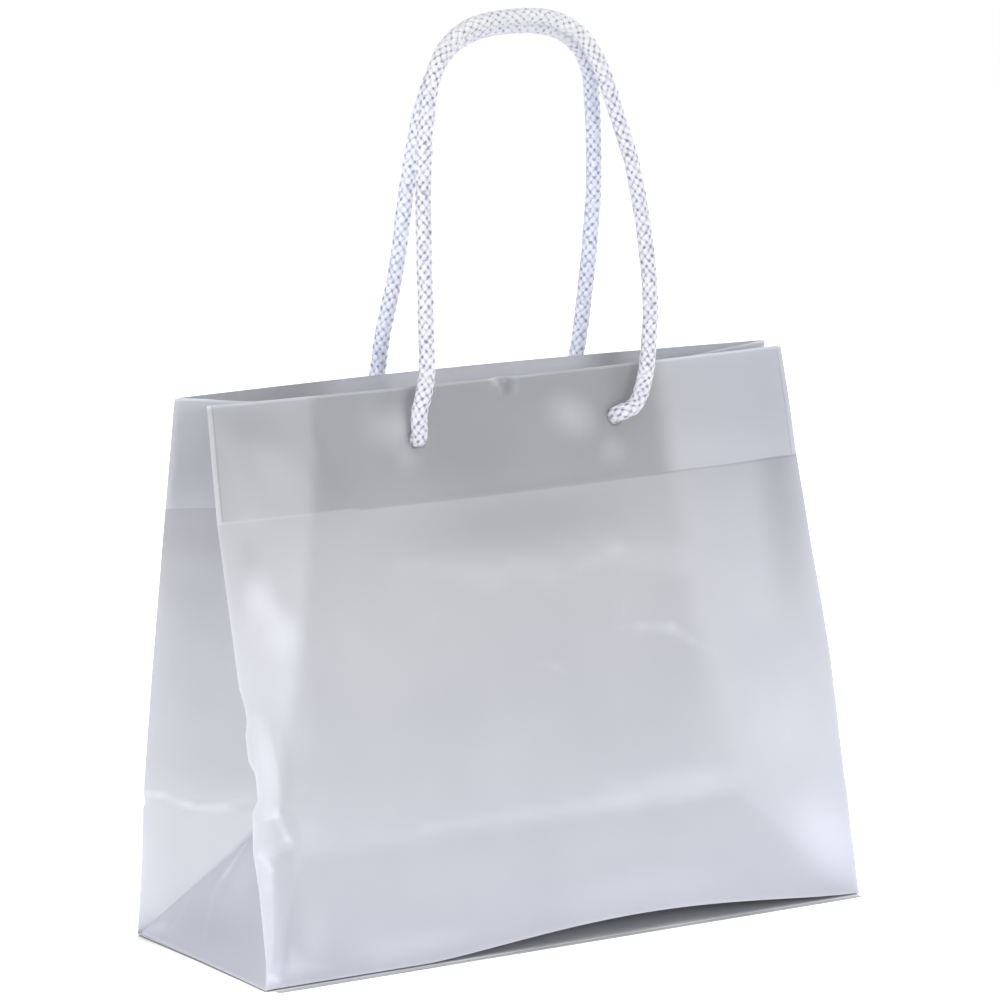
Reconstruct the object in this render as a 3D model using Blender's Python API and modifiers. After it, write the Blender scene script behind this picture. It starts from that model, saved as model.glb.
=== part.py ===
"""Frosted plastic carrier bag with two braided cord handles, knotted inside.

The bag is one folded film: a front and a back panel, two inward gussets, a block
bottom and a turned-in hem at the mouth. Metres, +Z up. The origin is the centre of
the base, +X runs along the width and -Y is the front.
"""

import math

import bmesh
import bpy
from mathutils import Vector

# Bag: overall sizes of the opened base and of the mouth.
BAG_WIDTH = 0.254
BAG_DEPTH = 0.092
RIM_HEIGHT = 0.2012
MOUTH_GAP_LEFT = 0.020
MOUTH_GAP_RIGHT = 0.0094
MOUTH_SHIFT_X = -0.0046
MOUTH_SHIFT_Y = 0.0020
MOUTH_TURN = 0.054
MOUTH_BOW_FRONT = 0.005
MOUTH_BOW_BACK = 0.008

# Film: one layer, and the second layer that the hem adds.
FILM = 0.0003
HEM_DEPTH = 0.040
HEM_STEP = 0.0004

# Gussets: how high the base triangle stands, how far its tip leans in, fold width.
APEX_HEIGHT = 0.044
GUSSET_HALF = 0.0465
FOLD_WIDTH = 0.0012

# Slack in the film: panels swell a little, and the right edges most of all.
PANEL_SWELL = 0.0035
RIGHT_EDGE_SWELL = 0.0055

# Bottom: the front fold arches off the floor over part of the width.
ARCH_LIFT = 0.0057
ARCH_START_X = -0.062
ARCH_END_X = 0.123
ARCH_SHAPE = 1.3
ARCH_FADE_UP = 0.030
ARCH_FADE_BACK = 0.026

# Outer bottom flap and the seal that welds it to the inner bottom.
FLAP_GAP = 0.0003
FLAP_OVERHANG = 0.0022
FLAP_SIDE_INSET = 0.0020
FLAP_BACK_INSET = 0.0015
SEAL_DEPTH = 0.016
SEAL_INSET = 0.006

# Cord handles, their holes and their knots.
CORD_DIAMETER = 0.0056
HOLE_CLEARANCE = 0.0009
HOLE_DROP = 0.0185
PUNCH_LENGTH = 0.010
CORD_POINT_SPACING = 0.014
CORD_END_STEP = 0.0024
CORD_END_STEPS = 4
KNOT_LENGTH = 0.016
KNOT_DEPTH = 0.0115
KNOT_HEIGHT = 0.014
KNOT_SEAT = 0.0003

# Where each cord goes through its panel, along the width.
FRONT_HOLE_LEFT_X = -0.0480
FRONT_HOLE_RIGHT_X = 0.0400
BACK_HOLE_LEFT_X = -0.0435
BACK_HOLE_RIGHT_X = 0.0435

# Each knot lies a little to one side of its hole.
KNOT_SIDE_SHIFT = 0.004

# Free part of each cord, from beside one hole over the top to beside the other.
FRONT_ROUTE = (
    (-0.0493, -0.0205, 0.1925),
    (-0.0452, -0.0186, 0.2052),
    (-0.0436, -0.0156, 0.2250),
    (-0.0426, -0.0130, 0.2470),
    (-0.0410, -0.0100, 0.2720),
    (-0.0376, -0.0070, 0.2976),
    (-0.0332, -0.0053, 0.3114),
    (-0.0258, -0.0041, 0.3217),
    (-0.0137, -0.0035, 0.3276),
    (0.0050, -0.0033, 0.3294),
    (0.0181, -0.0034, 0.3280),
    (0.0300, -0.0037, 0.3215),
    (0.0375, -0.0046, 0.3101),
    (0.0435, -0.0056, 0.2937),
    (0.0496, -0.0064, 0.2760),
    (0.0531, -0.0072, 0.2595),
    (0.0558, -0.0080, 0.2407),
    (0.0566, -0.0090, 0.2242),
    (0.0550, -0.0105, 0.2095),
    (0.0520, -0.0125, 0.1975),
    (0.0465, -0.0150, 0.1880),
)
BACK_ROUTE = (
    (-0.0428, 0.0215, 0.1915),
    (-0.0425, 0.0192, 0.2040),
    (-0.0420, 0.0164, 0.2173),
    (-0.0379, 0.0140, 0.2396),
    (-0.0353, 0.0106, 0.2692),
    (-0.0313, 0.0074, 0.2960),
    (-0.0239, 0.0051, 0.3151),
    (-0.0120, 0.0036, 0.3235),
    (0.0050, 0.0033, 0.3258),
    (0.0200, 0.0036, 0.3245),
    (0.0310, 0.0042, 0.3195),
    (0.0385, 0.0055, 0.3100),
    (0.0419, 0.0078, 0.2972),
    (0.0450, 0.0112, 0.2720),
    (0.0459, 0.0135, 0.2559),
    (0.0458, 0.0167, 0.2334),
    (0.0452, 0.0205, 0.2100),
    (0.0440, 0.0240, 0.1925),
)

# Mesh density.
PANEL_COLUMNS = 14
PANEL_FIRST_COLUMN = 0.014
GUSSET_COLUMNS = 3
BASE_COLUMNS = 8
TRIANGLE_ROWS = 4
WALL_ROWS = 6
HEM_ROWS = 3
HOLE_SIDES = 20
KNOT_SIDES = 16
KNOT_RINGS = 10
CURVE_STEPS = 24
SAME_POINT = 0.00001

# Worked out from the sizes above.
BASE_Z = FILM + FLAP_GAP
HEM_Z = RIM_HEIGHT - HEM_DEPTH
CORD_RADIUS = CORD_DIAMETER / 2
HOLE_RADIUS = CORD_RADIUS + HOLE_CLEARANCE
HOLE_Z = RIM_HEIGHT - HOLE_DROP

FILM_COLOUR = (0.62, 0.62, 0.68, 1.0)
CORD_COLOUR = (0.90, 0.90, 0.96, 1.0)


def clear_scene():
    """Remove every object that the scene starts with."""
    for item in list(bpy.data.objects):
        bpy.data.objects.remove(item, do_unlink=True)


def new_collection(name):
    """Make a collection under the scene's own and return it."""
    collection = bpy.data.collections.new(name)
    bpy.context.scene.collection.children.link(collection)
    return collection


def new_material(name, colour, roughness):
    """Make a plain Principled material."""
    material = bpy.data.materials.new(name)
    material.use_nodes = True
    shader = material.node_tree.nodes["Principled BSDF"]
    shader.inputs["Base Color"].default_value = colour
    shader.inputs["Roughness"].default_value = roughness
    shader.inputs["Metallic"].default_value = 0.0
    return material


def mix(start, end, share):
    """Point between two points."""
    return start + (end - start) * share


def mouth_corner(x, y):
    """Turn and shift a corner of the mouth about the centre of the base."""
    turned_x = x * math.cos(MOUTH_TURN) - y * math.sin(MOUTH_TURN)
    turned_y = x * math.sin(MOUTH_TURN) + y * math.cos(MOUTH_TURN)
    return Vector((turned_x + MOUTH_SHIFT_X, turned_y + MOUTH_SHIFT_Y, RIM_HEIGHT))


def edge_point(side, face, z):
    """Point on one of the bag's four upright edges.

    side is -1 on the left and 1 on the right, face is -1 in front and 1 at the back.
    """
    share = (z - BASE_Z) / (RIM_HEIGHT - BASE_Z)
    base = Vector((side * BAG_WIDTH / 2, face * BAG_DEPTH / 2, BASE_Z))
    gap = MOUTH_GAP_LEFT if side < 0 else MOUTH_GAP_RIGHT
    top = mouth_corner(side * BAG_WIDTH / 2, face * gap / 2)
    point = mix(base, top, share)
    if side > 0:
        point.x += RIGHT_EDGE_SWELL * math.sin(math.pi * share)
    return point


def crease_middle(side, z):
    """Middle of a gusset's inner fold, or of the leaning base triangle below it."""
    def folded(height):
        front = edge_point(side, -1, height)
        back = edge_point(side, 1, height)
        half_gap = (back - front).length / 2
        reach = math.sqrt(max(GUSSET_HALF ** 2 - half_gap ** 2, (FOLD_WIDTH / 2) ** 2))
        middle = (front + back) / 2
        middle.x -= side * reach
        return middle

    if z >= APEX_HEIGHT:
        return folded(z)
    foot = (edge_point(side, -1, BASE_Z) + edge_point(side, 1, BASE_Z)) / 2
    return mix(foot, folded(APEX_HEIGHT), (z - BASE_Z) / (APEX_HEIGHT - BASE_Z))


def fold_point(side, face, z):
    """Point on the gusset fold, which splits into two diagonals under its tip."""
    middle = crease_middle(side, z)
    below = max(0.0, (APEX_HEIGHT - z) / (APEX_HEIGHT - BASE_Z))
    half_width = mix(FOLD_WIDTH / 2, BAG_DEPTH / 2, below)
    return Vector((middle.x, middle.y + face * half_width, z))


def arch(x):
    """How far the front fold stands off the floor at x, as a share of the lift."""
    share = (x - ARCH_START_X) / (ARCH_END_X - ARCH_START_X)
    if share <= 0.0 or share >= 1.0:
        return 0.0
    return math.sin(math.pi * share) ** ARCH_SHAPE


def panel_point(face, share, z):
    """Point on the front or back panel, share 0 at its left edge and 1 at its right."""
    left = edge_point(-1, face, z)
    right = edge_point(1, face, z)
    point = mix(left, right, share)
    height = (z - BASE_Z) / (RIM_HEIGHT - BASE_Z)
    bow = MOUTH_BOW_FRONT if face < 0 else MOUTH_BOW_BACK
    swell = PANEL_SWELL * math.sin(math.pi * height) + bow * height ** 2
    point.y += face * swell * math.sin(math.pi * share)
    if face < 0:
        fade = max(0.0, 1.0 - (z - BASE_Z) / ARCH_FADE_UP)
        point.z += ARCH_LIFT * arch(point.x) * fade
    return point


def bottom_point(share, depth_share):
    """Point on the inner bottom, depth_share 0 at the front fold and 1 at the back."""
    front = panel_point(-1, share, BASE_Z)
    back = panel_point(1, share, BASE_Z)
    point = mix(front, back, depth_share)
    behind = point.y - front.y
    fade = max(0.0, 1.0 - behind / ARCH_FADE_BACK)
    point.z = BASE_Z + (front.z - BASE_Z) * fade
    return point


def panel_shares():
    """Column places across a panel, with a wide first and last column."""
    first = PANEL_FIRST_COLUMN / BAG_WIDTH
    inner = PANEL_COLUMNS - 2
    shares = [0.0]
    shares += [first + (1 - 2 * first) * i / inner for i in range(inner + 1)]
    return shares + [1.0]


def row_heights():
    """Heights of the film's rows, from the base to the rim."""
    rows = [BASE_Z + (APEX_HEIGHT - BASE_Z) * i / TRIANGLE_ROWS for i in range(TRIANGLE_ROWS + 1)]
    wall = HEM_Z - HEM_STEP - APEX_HEIGHT
    rows += [APEX_HEIGHT + wall * i / WALL_ROWS for i in range(1, WALL_ROWS + 1)]
    rows += [HEM_Z + HEM_DEPTH * i / HEM_ROWS for i in range(HEM_ROWS + 1)]
    return rows


def gusset_ring(side, z):
    """Points of one gusset from its front edge to its back edge, ends left out."""
    front_edge = edge_point(side, -1, z)
    back_edge = edge_point(side, 1, z)
    front_fold = fold_point(side, -1, z)
    back_fold = fold_point(side, 1, z)
    points = [mix(front_edge, front_fold, i / GUSSET_COLUMNS) for i in range(1, GUSSET_COLUMNS)]
    for i in range(BASE_COLUMNS + 1):
        if z < APEX_HEIGHT - SAME_POINT:
            points.append(mix(front_fold, back_fold, i / BASE_COLUMNS))
        else:
            points.append(back_fold if i == BASE_COLUMNS else front_fold)
    points += [mix(back_fold, back_edge, i / GUSSET_COLUMNS) for i in range(1, GUSSET_COLUMNS)]
    return points


def film_ring(z):
    """All points of the film at one height, anticlockwise from the front left edge."""
    shares = panel_shares()
    ring = [panel_point(-1, share, z) for share in shares]
    ring += gusset_ring(1, z)
    ring += [panel_point(1, share, z) for share in reversed(shares)]
    ring += reversed(gusset_ring(-1, z))
    return ring


class FilmMesh:
    """Collects faces and shares the vertices that lie in one place."""

    def __init__(self):
        self.mesh = bmesh.new()
        self.known = {}

    def vertex(self, point):
        """Vertex at a point, made once."""
        key = tuple(round(value / SAME_POINT) for value in point)
        if key not in self.known:
            self.known[key] = self.mesh.verts.new(point)
        return self.known[key]

    def face(self, points):
        """Face through the points that are not in one place."""
        corners = []
        for point in points:
            vertex = self.vertex(point)
            if vertex not in corners:
                corners.append(vertex)
        if len(corners) > 2:
            self.mesh.faces.new(corners)

    def strip(self, lower, upper, closed):
        """Faces between two rows of points."""
        count = len(lower)
        last = count if closed else count - 1
        for i in range(last):
            j = (i + 1) % count
            self.face((lower[i], lower[j], upper[j], upper[i]))

    def to_object(self, name, collection):
        """Turn the collected faces into an object."""
        data = bpy.data.meshes.new(name)
        self.mesh.to_mesh(data)
        self.mesh.free()
        item = bpy.data.objects.new(name, data)
        collection.objects.link(item)
        return item


def make_film(collection):
    """The folded film: walls, gussets, hem and inner bottom, as one thick shell."""
    film = FilmMesh()
    rings = [film_ring(z) for z in row_heights()]
    for lower, upper in zip(rings, rings[1:]):
        film.strip(lower, upper, closed=True)
    depth_shares = [i / BASE_COLUMNS for i in range(BASE_COLUMNS + 1)]
    lines = [[bottom_point(share, depth) for share in panel_shares()] for depth in depth_shares]
    for nearer, farther in zip(lines, lines[1:]):
        film.strip(farther, nearer, closed=False)
    item = film.to_object("bag_body", collection)

    hem = item.vertex_groups.new(name="hem")
    for vertex in item.data.vertices:
        in_hem = vertex.co.z > HEM_Z - HEM_STEP / 2
        hem.add([vertex.index], 1.0 if in_hem else 0.5, "REPLACE")

    thick = item.modifiers.new("film_thickness", "SOLIDIFY")
    thick.thickness = 2 * FILM
    thick.offset = -1.0
    thick.vertex_group = hem.name
    return item


def add_box(name, collection, low, high):
    """A box between two corners, with its size in the mesh."""
    data = bpy.data.meshes.new(name)
    box = bmesh.new()
    bmesh.ops.create_cube(box, size=1.0)
    for vertex in box.verts:
        for axis in range(3):
            share = vertex.co[axis] + 0.5
            vertex.co[axis] = low[axis] + (high[axis] - low[axis]) * share
    box.to_mesh(data)
    box.free()
    item = bpy.data.objects.new(name, data)
    collection.objects.link(item)
    return item


def as_helper(item):
    """Show a cutter or a joined shape as a wire only."""
    item.hide_render = True
    item.display_type = "WIRE"
    return item


def join_to(item, helper, operation):
    """Add or cut a helper shape."""
    step = item.modifiers.new(helper.name, "BOOLEAN")
    step.operation = operation
    step.solver = "EXACT"
    step.object = helper


def add_bottom_flap(bag, helpers):
    """Outer bottom flap that lies on the floor, welded to the bottom by one seal."""
    half_width = BAG_WIDTH / 2 - FLAP_SIDE_INSET
    front = -BAG_DEPTH / 2 - FLAP_OVERHANG
    back = BAG_DEPTH / 2 - FLAP_BACK_INSET
    flap = add_box("bottom_flap", helpers, (-half_width, front, 0.0), (half_width, back, FILM))
    seal_back = back - SEAL_INSET
    seal = add_box(
        "bottom_seal",
        helpers,
        (-half_width + SEAL_INSET, seal_back - SEAL_DEPTH, FILM / 2),
        (half_width - SEAL_INSET, seal_back, BASE_Z + FILM / 2),
    )
    for helper in (flap, seal):
        join_to(bag, as_helper(helper), "UNION")


def film_at(face, x, z):
    """Point on the outside of a panel above the floor at x."""
    low, high = 0.0, 1.0
    for _ in range(40):
        middle = (low + high) / 2
        if panel_point(face, middle, z).x < x:
            low = middle
        else:
            high = middle
    return panel_point(face, (low + high) / 2, z)


def hole_point(face, x):
    """Where a cord's middle passes the outside of its panel."""
    return film_at(face, x, HOLE_Z)


def cut_hole(bag, helpers, name, face, x):
    """Punch one round hole through the two layers of the hem."""
    data = bpy.data.meshes.new(name)
    punch = bmesh.new()
    bmesh.ops.create_cone(
        punch,
        cap_ends=True,
        segments=HOLE_SIDES,
        radius1=HOLE_RADIUS,
        radius2=HOLE_RADIUS,
        depth=PUNCH_LENGTH,
    )
    punch.to_mesh(data)
    punch.free()
    cutter = bpy.data.objects.new(name, data)
    helpers.objects.link(cutter)
    cutter.rotation_euler = (math.pi / 2, 0.0, 0.0)
    cutter.location = hole_point(face, x)
    join_to(bag, as_helper(cutter), "DIFFERENCE")


def smooth_curve(points, spacing):
    """Evenly spaced points on a smooth curve through the given points."""
    fine = []
    padded = [points[0] * 2 - points[1]] + points + [points[-1] * 2 - points[-2]]
    for before, start, end, after in zip(padded, padded[1:], padded[2:], padded[3:]):
        for i in range(CURVE_STEPS):
            t = i / CURVE_STEPS
            fine.append(0.5 * (
                2 * start
                + (end - before) * t
                + (2 * before - 5 * start + 4 * end - after) * t ** 2
                + (3 * start - before - 3 * end + after) * t ** 3
            ))
    fine.append(points[-1])
    lengths = [0.0]
    for start, end in zip(fine, fine[1:]):
        lengths.append(lengths[-1] + (end - start).length)
    result = []
    place = 0
    for target in point_places(lengths[-1], spacing):
        while place < len(fine) - 2 and lengths[place + 1] < target:
            place += 1
        part = (target - lengths[place]) / (lengths[place + 1] - lengths[place])
        result.append(mix(fine[place], fine[place + 1], part))
    return result


def point_places(length, spacing):
    """Distances along a cord: close together at the tight bends of its two ends."""
    bend = CORD_END_STEPS * CORD_END_STEP
    middle = length - 2 * bend
    count = max(2, round(middle / spacing))
    places = [CORD_END_STEP * i for i in range(CORD_END_STEPS)]
    places += [bend + middle * i / count for i in range(count + 1)]
    return places + [length - CORD_END_STEP * i for i in reversed(range(CORD_END_STEPS))]


def through_hole(face, x):
    """Points from just inside a knot's face, through the hole, to the outside."""
    hole = hole_point(face, x)
    inside = hole.copy()
    inside.y -= face * (2 * FILM + KNOT_SEAT + CORD_RADIUS / 2)
    outside = hole.copy()
    outside.y += face * CORD_RADIUS
    outside.z += CORD_RADIUS / 2
    return [inside, hole, outside]


def make_cord(name, collection, face, left_x, right_x, route):
    """One handle: from its left knot out of the bag, over the top and back in."""
    points = through_hole(face, left_x)
    points += [Vector(point) for point in route]
    points += reversed(through_hole(face, right_x))
    curve = bpy.data.curves.new(name, "CURVE")
    curve.dimensions = "3D"
    curve.bevel_depth = CORD_RADIUS
    curve.bevel_resolution = 3
    curve.use_fill_caps = True
    line = smooth_curve(points, CORD_POINT_SPACING)
    spline = curve.splines.new("POLY")
    spline.points.add(len(line) - 1)
    for slot, point in zip(spline.points, line):
        slot.co = (*point, 1.0)
    item = bpy.data.objects.new(name, curve)
    collection.objects.link(item)
    return item


def make_knot(name, collection, face, x, side_shift):
    """Outer shape of the knot that holds a cord's end inside the bag."""
    data = bpy.data.meshes.new(name)
    ball = bmesh.new()
    bmesh.ops.create_uvsphere(ball, u_segments=KNOT_SIDES, v_segments=KNOT_RINGS, radius=0.5)
    for vertex in ball.verts:
        vertex.co.x *= KNOT_LENGTH
        vertex.co.y *= KNOT_DEPTH
        vertex.co.z *= KNOT_HEIGHT
    ball.to_mesh(data)
    ball.free()
    data.shade_smooth()
    item = bpy.data.objects.new(name, data)
    hole = hole_point(face, x)
    inward = 2 * FILM + 2 * KNOT_SEAT + CORD_RADIUS / 2 + KNOT_DEPTH / 2
    item.location = (hole.x + side_shift, hole.y - face * inward, hole.z)
    collection.objects.link(item)
    return item


def main():
    """Build the bag and its two handles."""
    clear_scene()
    bag_parts = new_collection("plastic_carrier_bag")
    helpers = new_collection("helpers")
    film_material = new_material("frosted_film", FILM_COLOUR, 0.35)
    front_material = new_material("front_cord", CORD_COLOUR, 0.7)
    back_material = new_material("back_cord", CORD_COLOUR, 0.7)

    bag = make_film(bag_parts)
    add_bottom_flap(bag, helpers)
    cords = (
        ("front", -1, FRONT_HOLE_LEFT_X, FRONT_HOLE_RIGHT_X, FRONT_ROUTE, front_material),
        ("back", 1, BACK_HOLE_LEFT_X, BACK_HOLE_RIGHT_X, BACK_ROUTE, back_material),
    )
    bag.data.materials.append(film_material)
    for label, face, left_x, right_x, route, material in cords:
        cut_hole(bag, helpers, label + "_left_hole", face, left_x)
        cut_hole(bag, helpers, label + "_right_hole", face, right_x)
        cord = make_cord(label + "_handle", bag_parts, face, left_x, right_x, route)
        shift = face * KNOT_SIDE_SHIFT
        left_knot = make_knot(label + "_left_knot", bag_parts, face, left_x, shift)
        right_knot = make_knot(label + "_right_knot", bag_parts, face, right_x, shift)
        for item in (cord, left_knot, right_knot):
            item.data.materials.append(material)


main()
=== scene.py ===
"""Looks of a frosted plastic carrier bag: its folded film, its two braided cords and their knots."""

import logging
import math
from dataclasses import dataclass
from enum import Enum
from typing import Callable, Sequence

import bpy
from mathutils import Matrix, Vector, noise


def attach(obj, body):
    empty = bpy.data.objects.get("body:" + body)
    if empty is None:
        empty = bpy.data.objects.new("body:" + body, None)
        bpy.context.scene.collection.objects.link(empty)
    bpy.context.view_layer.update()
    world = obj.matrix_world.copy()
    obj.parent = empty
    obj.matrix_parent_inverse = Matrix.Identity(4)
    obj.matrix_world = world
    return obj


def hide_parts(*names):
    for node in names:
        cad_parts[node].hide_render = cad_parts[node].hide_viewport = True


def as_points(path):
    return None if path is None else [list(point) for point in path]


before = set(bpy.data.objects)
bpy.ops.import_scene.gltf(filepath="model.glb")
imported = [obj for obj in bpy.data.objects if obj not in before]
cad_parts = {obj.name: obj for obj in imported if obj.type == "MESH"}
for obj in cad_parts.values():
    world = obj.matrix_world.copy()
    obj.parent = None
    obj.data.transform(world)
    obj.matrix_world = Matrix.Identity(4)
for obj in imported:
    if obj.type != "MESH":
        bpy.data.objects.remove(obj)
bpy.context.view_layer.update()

log = logging.getLogger("carrier_bag")

MM = 0.001
Colour = tuple[float, float, float, float]
Point = tuple[float, float, float]


class Side(Enum):
    """Left or right end of the bag, as the sign of X."""

    LEFT = -1
    RIGHT = 1


class Face(Enum):
    """Front or back of the bag, as the sign of Y."""

    FRONT = -1
    BACK = 1


class Part(Enum):
    """Stretches of the film that a ring round the bag passes through."""

    PANEL = "panel"
    FRONT_HALF = "front_half"
    FOLD = "fold"
    BACK_HALF = "back_half"


def mix(start: Vector, end: Vector, share: float) -> Vector:
    """Point between two points."""
    return start + (end - start) * share


def blend(low: float, high: float, share: float) -> float:
    """Number between two numbers."""
    return low + (high - low) * share


def clamp(value: float, low: float = 0.0, high: float = 1.0) -> float:
    """Value held between two limits."""
    return max(low, min(high, value))


def ease(value: float) -> float:
    """Smooth step from 0 at zero to 1 at one."""
    held = clamp(value)
    return held * held * (3.0 - 2.0 * held)


def bump_curve(value: float) -> float:
    """Smooth rise and fall, 1 at zero and 0 from 1 onwards."""
    if abs(value) >= 1.0:
        return 0.0
    return (1.0 - value * value) ** 2


@dataclass(frozen=True)
class Pillow:
    """A soft rise or dent in a sheet, in the sheet's own two directions."""

    across: float
    up: float
    half_across: float
    half_up: float
    height: float
    turn: float = 0.0

    def lift(self, across: float, up: float) -> float:
        """Height of the sheet at a place on it."""
        dx, dy = across - self.across, up - self.up
        cos, sin = math.cos(self.turn), math.sin(self.turn)
        a = (dx * cos + dy * sin) / self.half_across
        b = (dy * cos - dx * sin) / self.half_up
        return self.height * bump_curve(math.hypot(a, b))


@dataclass(frozen=True)
class Crease:
    """A sharp ridge in a sheet that runs between two places on it."""

    start: tuple[float, float]
    end: tuple[float, float]
    half_width: float
    height: float
    sharpness: float = 1.4

    def lift(self, across: float, up: float) -> float:
        """Height of the sheet at a place on it."""
        run_x, run_y = self.end[0] - self.start[0], self.end[1] - self.start[1]
        length = math.hypot(run_x, run_y)
        dx, dy = across - self.start[0], up - self.start[1]
        along = (dx * run_x + dy * run_y) / length
        beside = abs(dx * run_y - dy * run_x) / length
        if beside >= self.half_width or along <= 0.0 or along >= length:
            return 0.0
        taper = math.sin(math.pi * along / length) ** 0.7
        return self.height * taper * (1.0 - beside / self.half_width) ** self.sharpness


@dataclass(frozen=True)
class Streak:
    """A light or dark facet with plain borders that runs between two places and may taper."""

    start: tuple[float, float]
    end: tuple[float, float]
    half_start: float
    half_end: float
    gain: float
    soft: float = 0.0009

    def lift(self, across: float, up: float) -> float:
        """Strength at a place on the sheet."""
        run_x, run_y = self.end[0] - self.start[0], self.end[1] - self.start[1]
        dx, dy = across - self.start[0], up - self.start[1]
        part = clamp((dx * run_x + dy * run_y) / (run_x * run_x + run_y * run_y))
        beside = math.hypot(dx - part * run_x, dy - part * run_y)
        half = blend(self.half_start, self.half_end, part)
        return self.gain * clamp((half - beside) / self.soft + 0.5)


def total_lift(features: Sequence[Pillow | Crease | Streak], across: float, up: float) -> float:
    """Sum of what every feature lifts a sheet at one place."""
    return sum(feature.lift(across, up) for feature in features)


def kinked(kinks: Sequence[tuple[float, float]], z: float) -> float:
    """Value at a height, read from places where a fold line kinks."""
    if z <= kinks[0][0]:
        return kinks[0][1]
    for (z0, v0), (z1, v1) in zip(kinks, kinks[1:]):
        if z <= z1:
            return blend(v0, v1, (z - z0) / (z1 - z0))
    return kinks[-1][1]


def deselect() -> None:
    """Leave nothing selected, in object mode."""
    if bpy.context.object and bpy.context.object.mode != "OBJECT":
        bpy.ops.object.mode_set(mode="OBJECT")
    bpy.ops.object.select_all(action="DESELECT")


def select_only(items: Sequence[bpy.types.Object]) -> None:
    """Select these objects and make the first one active."""
    deselect()
    for item in items:
        item.select_set(True)
    bpy.context.view_layer.objects.active = items[0]


def apply_modifiers(item: bpy.types.Object) -> None:
    """Apply every modifier of an object in order."""
    select_only([item])
    for name in [modifier.name for modifier in item.modifiers]:
        bpy.ops.object.modifier_apply(modifier=name)


def grid_sheet(
    name: str,
    columns: int,
    rows: int,
    place: Callable[[int, int], Vector],
    mark: Callable[[int, int], dict[str, float]],
) -> bpy.types.Object:
    """Add a grid primitive and lay it where a rule says.

    Args:
        name: The new object's name.
        columns: Faces across the sheet.
        rows: Faces up the sheet.
        place: Gives a point for a column line and a row line.
        mark: Gives the values that the material reads there, by attribute name.

    Returns:
        The sheet, with its place in its mesh.
    """
    deselect()
    bpy.ops.mesh.primitive_grid_add(x_subdivisions=columns, y_subdivisions=rows, size=2.0)
    sheet = bpy.context.object
    sheet.name = name
    sheet.data.name = name
    marks: list[dict[str, float]] = []
    for vertex in sheet.data.vertices:
        column = round((vertex.co.x + 1.0) / 2.0 * columns)
        row = round((vertex.co.y + 1.0) / 2.0 * rows)
        vertex.co = place(column, row)
        marks.append(mark(column, row))
    for key in marks[0]:
        layer = sheet.data.attributes.new(key, "FLOAT", "POINT")
        layer.data.foreach_set("value", [values[key] for values in marks])
    return sheet


def weld(sheets: Sequence[bpy.types.Object], name: str, distance: float) -> bpy.types.Object:
    """Join sheets into one and merge the points that meet.

    Args:
        sheets: The sheets, of which the first one stays.
        name: Name of the joined piece.
        distance: How near two points are to be merged.

    Returns:
        The joined piece.
    """
    select_only(sheets)
    if len(sheets) > 1:
        bpy.ops.object.join()
    piece = bpy.context.object
    piece.name = name
    piece.data.name = name
    bpy.ops.object.mode_set(mode="EDIT")
    bpy.ops.mesh.select_all(action="SELECT")
    bpy.ops.mesh.remove_doubles(threshold=distance)
    bpy.ops.mesh.select_all(action="DESELECT")
    bpy.ops.object.mode_set(mode="OBJECT")
    return piece


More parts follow.
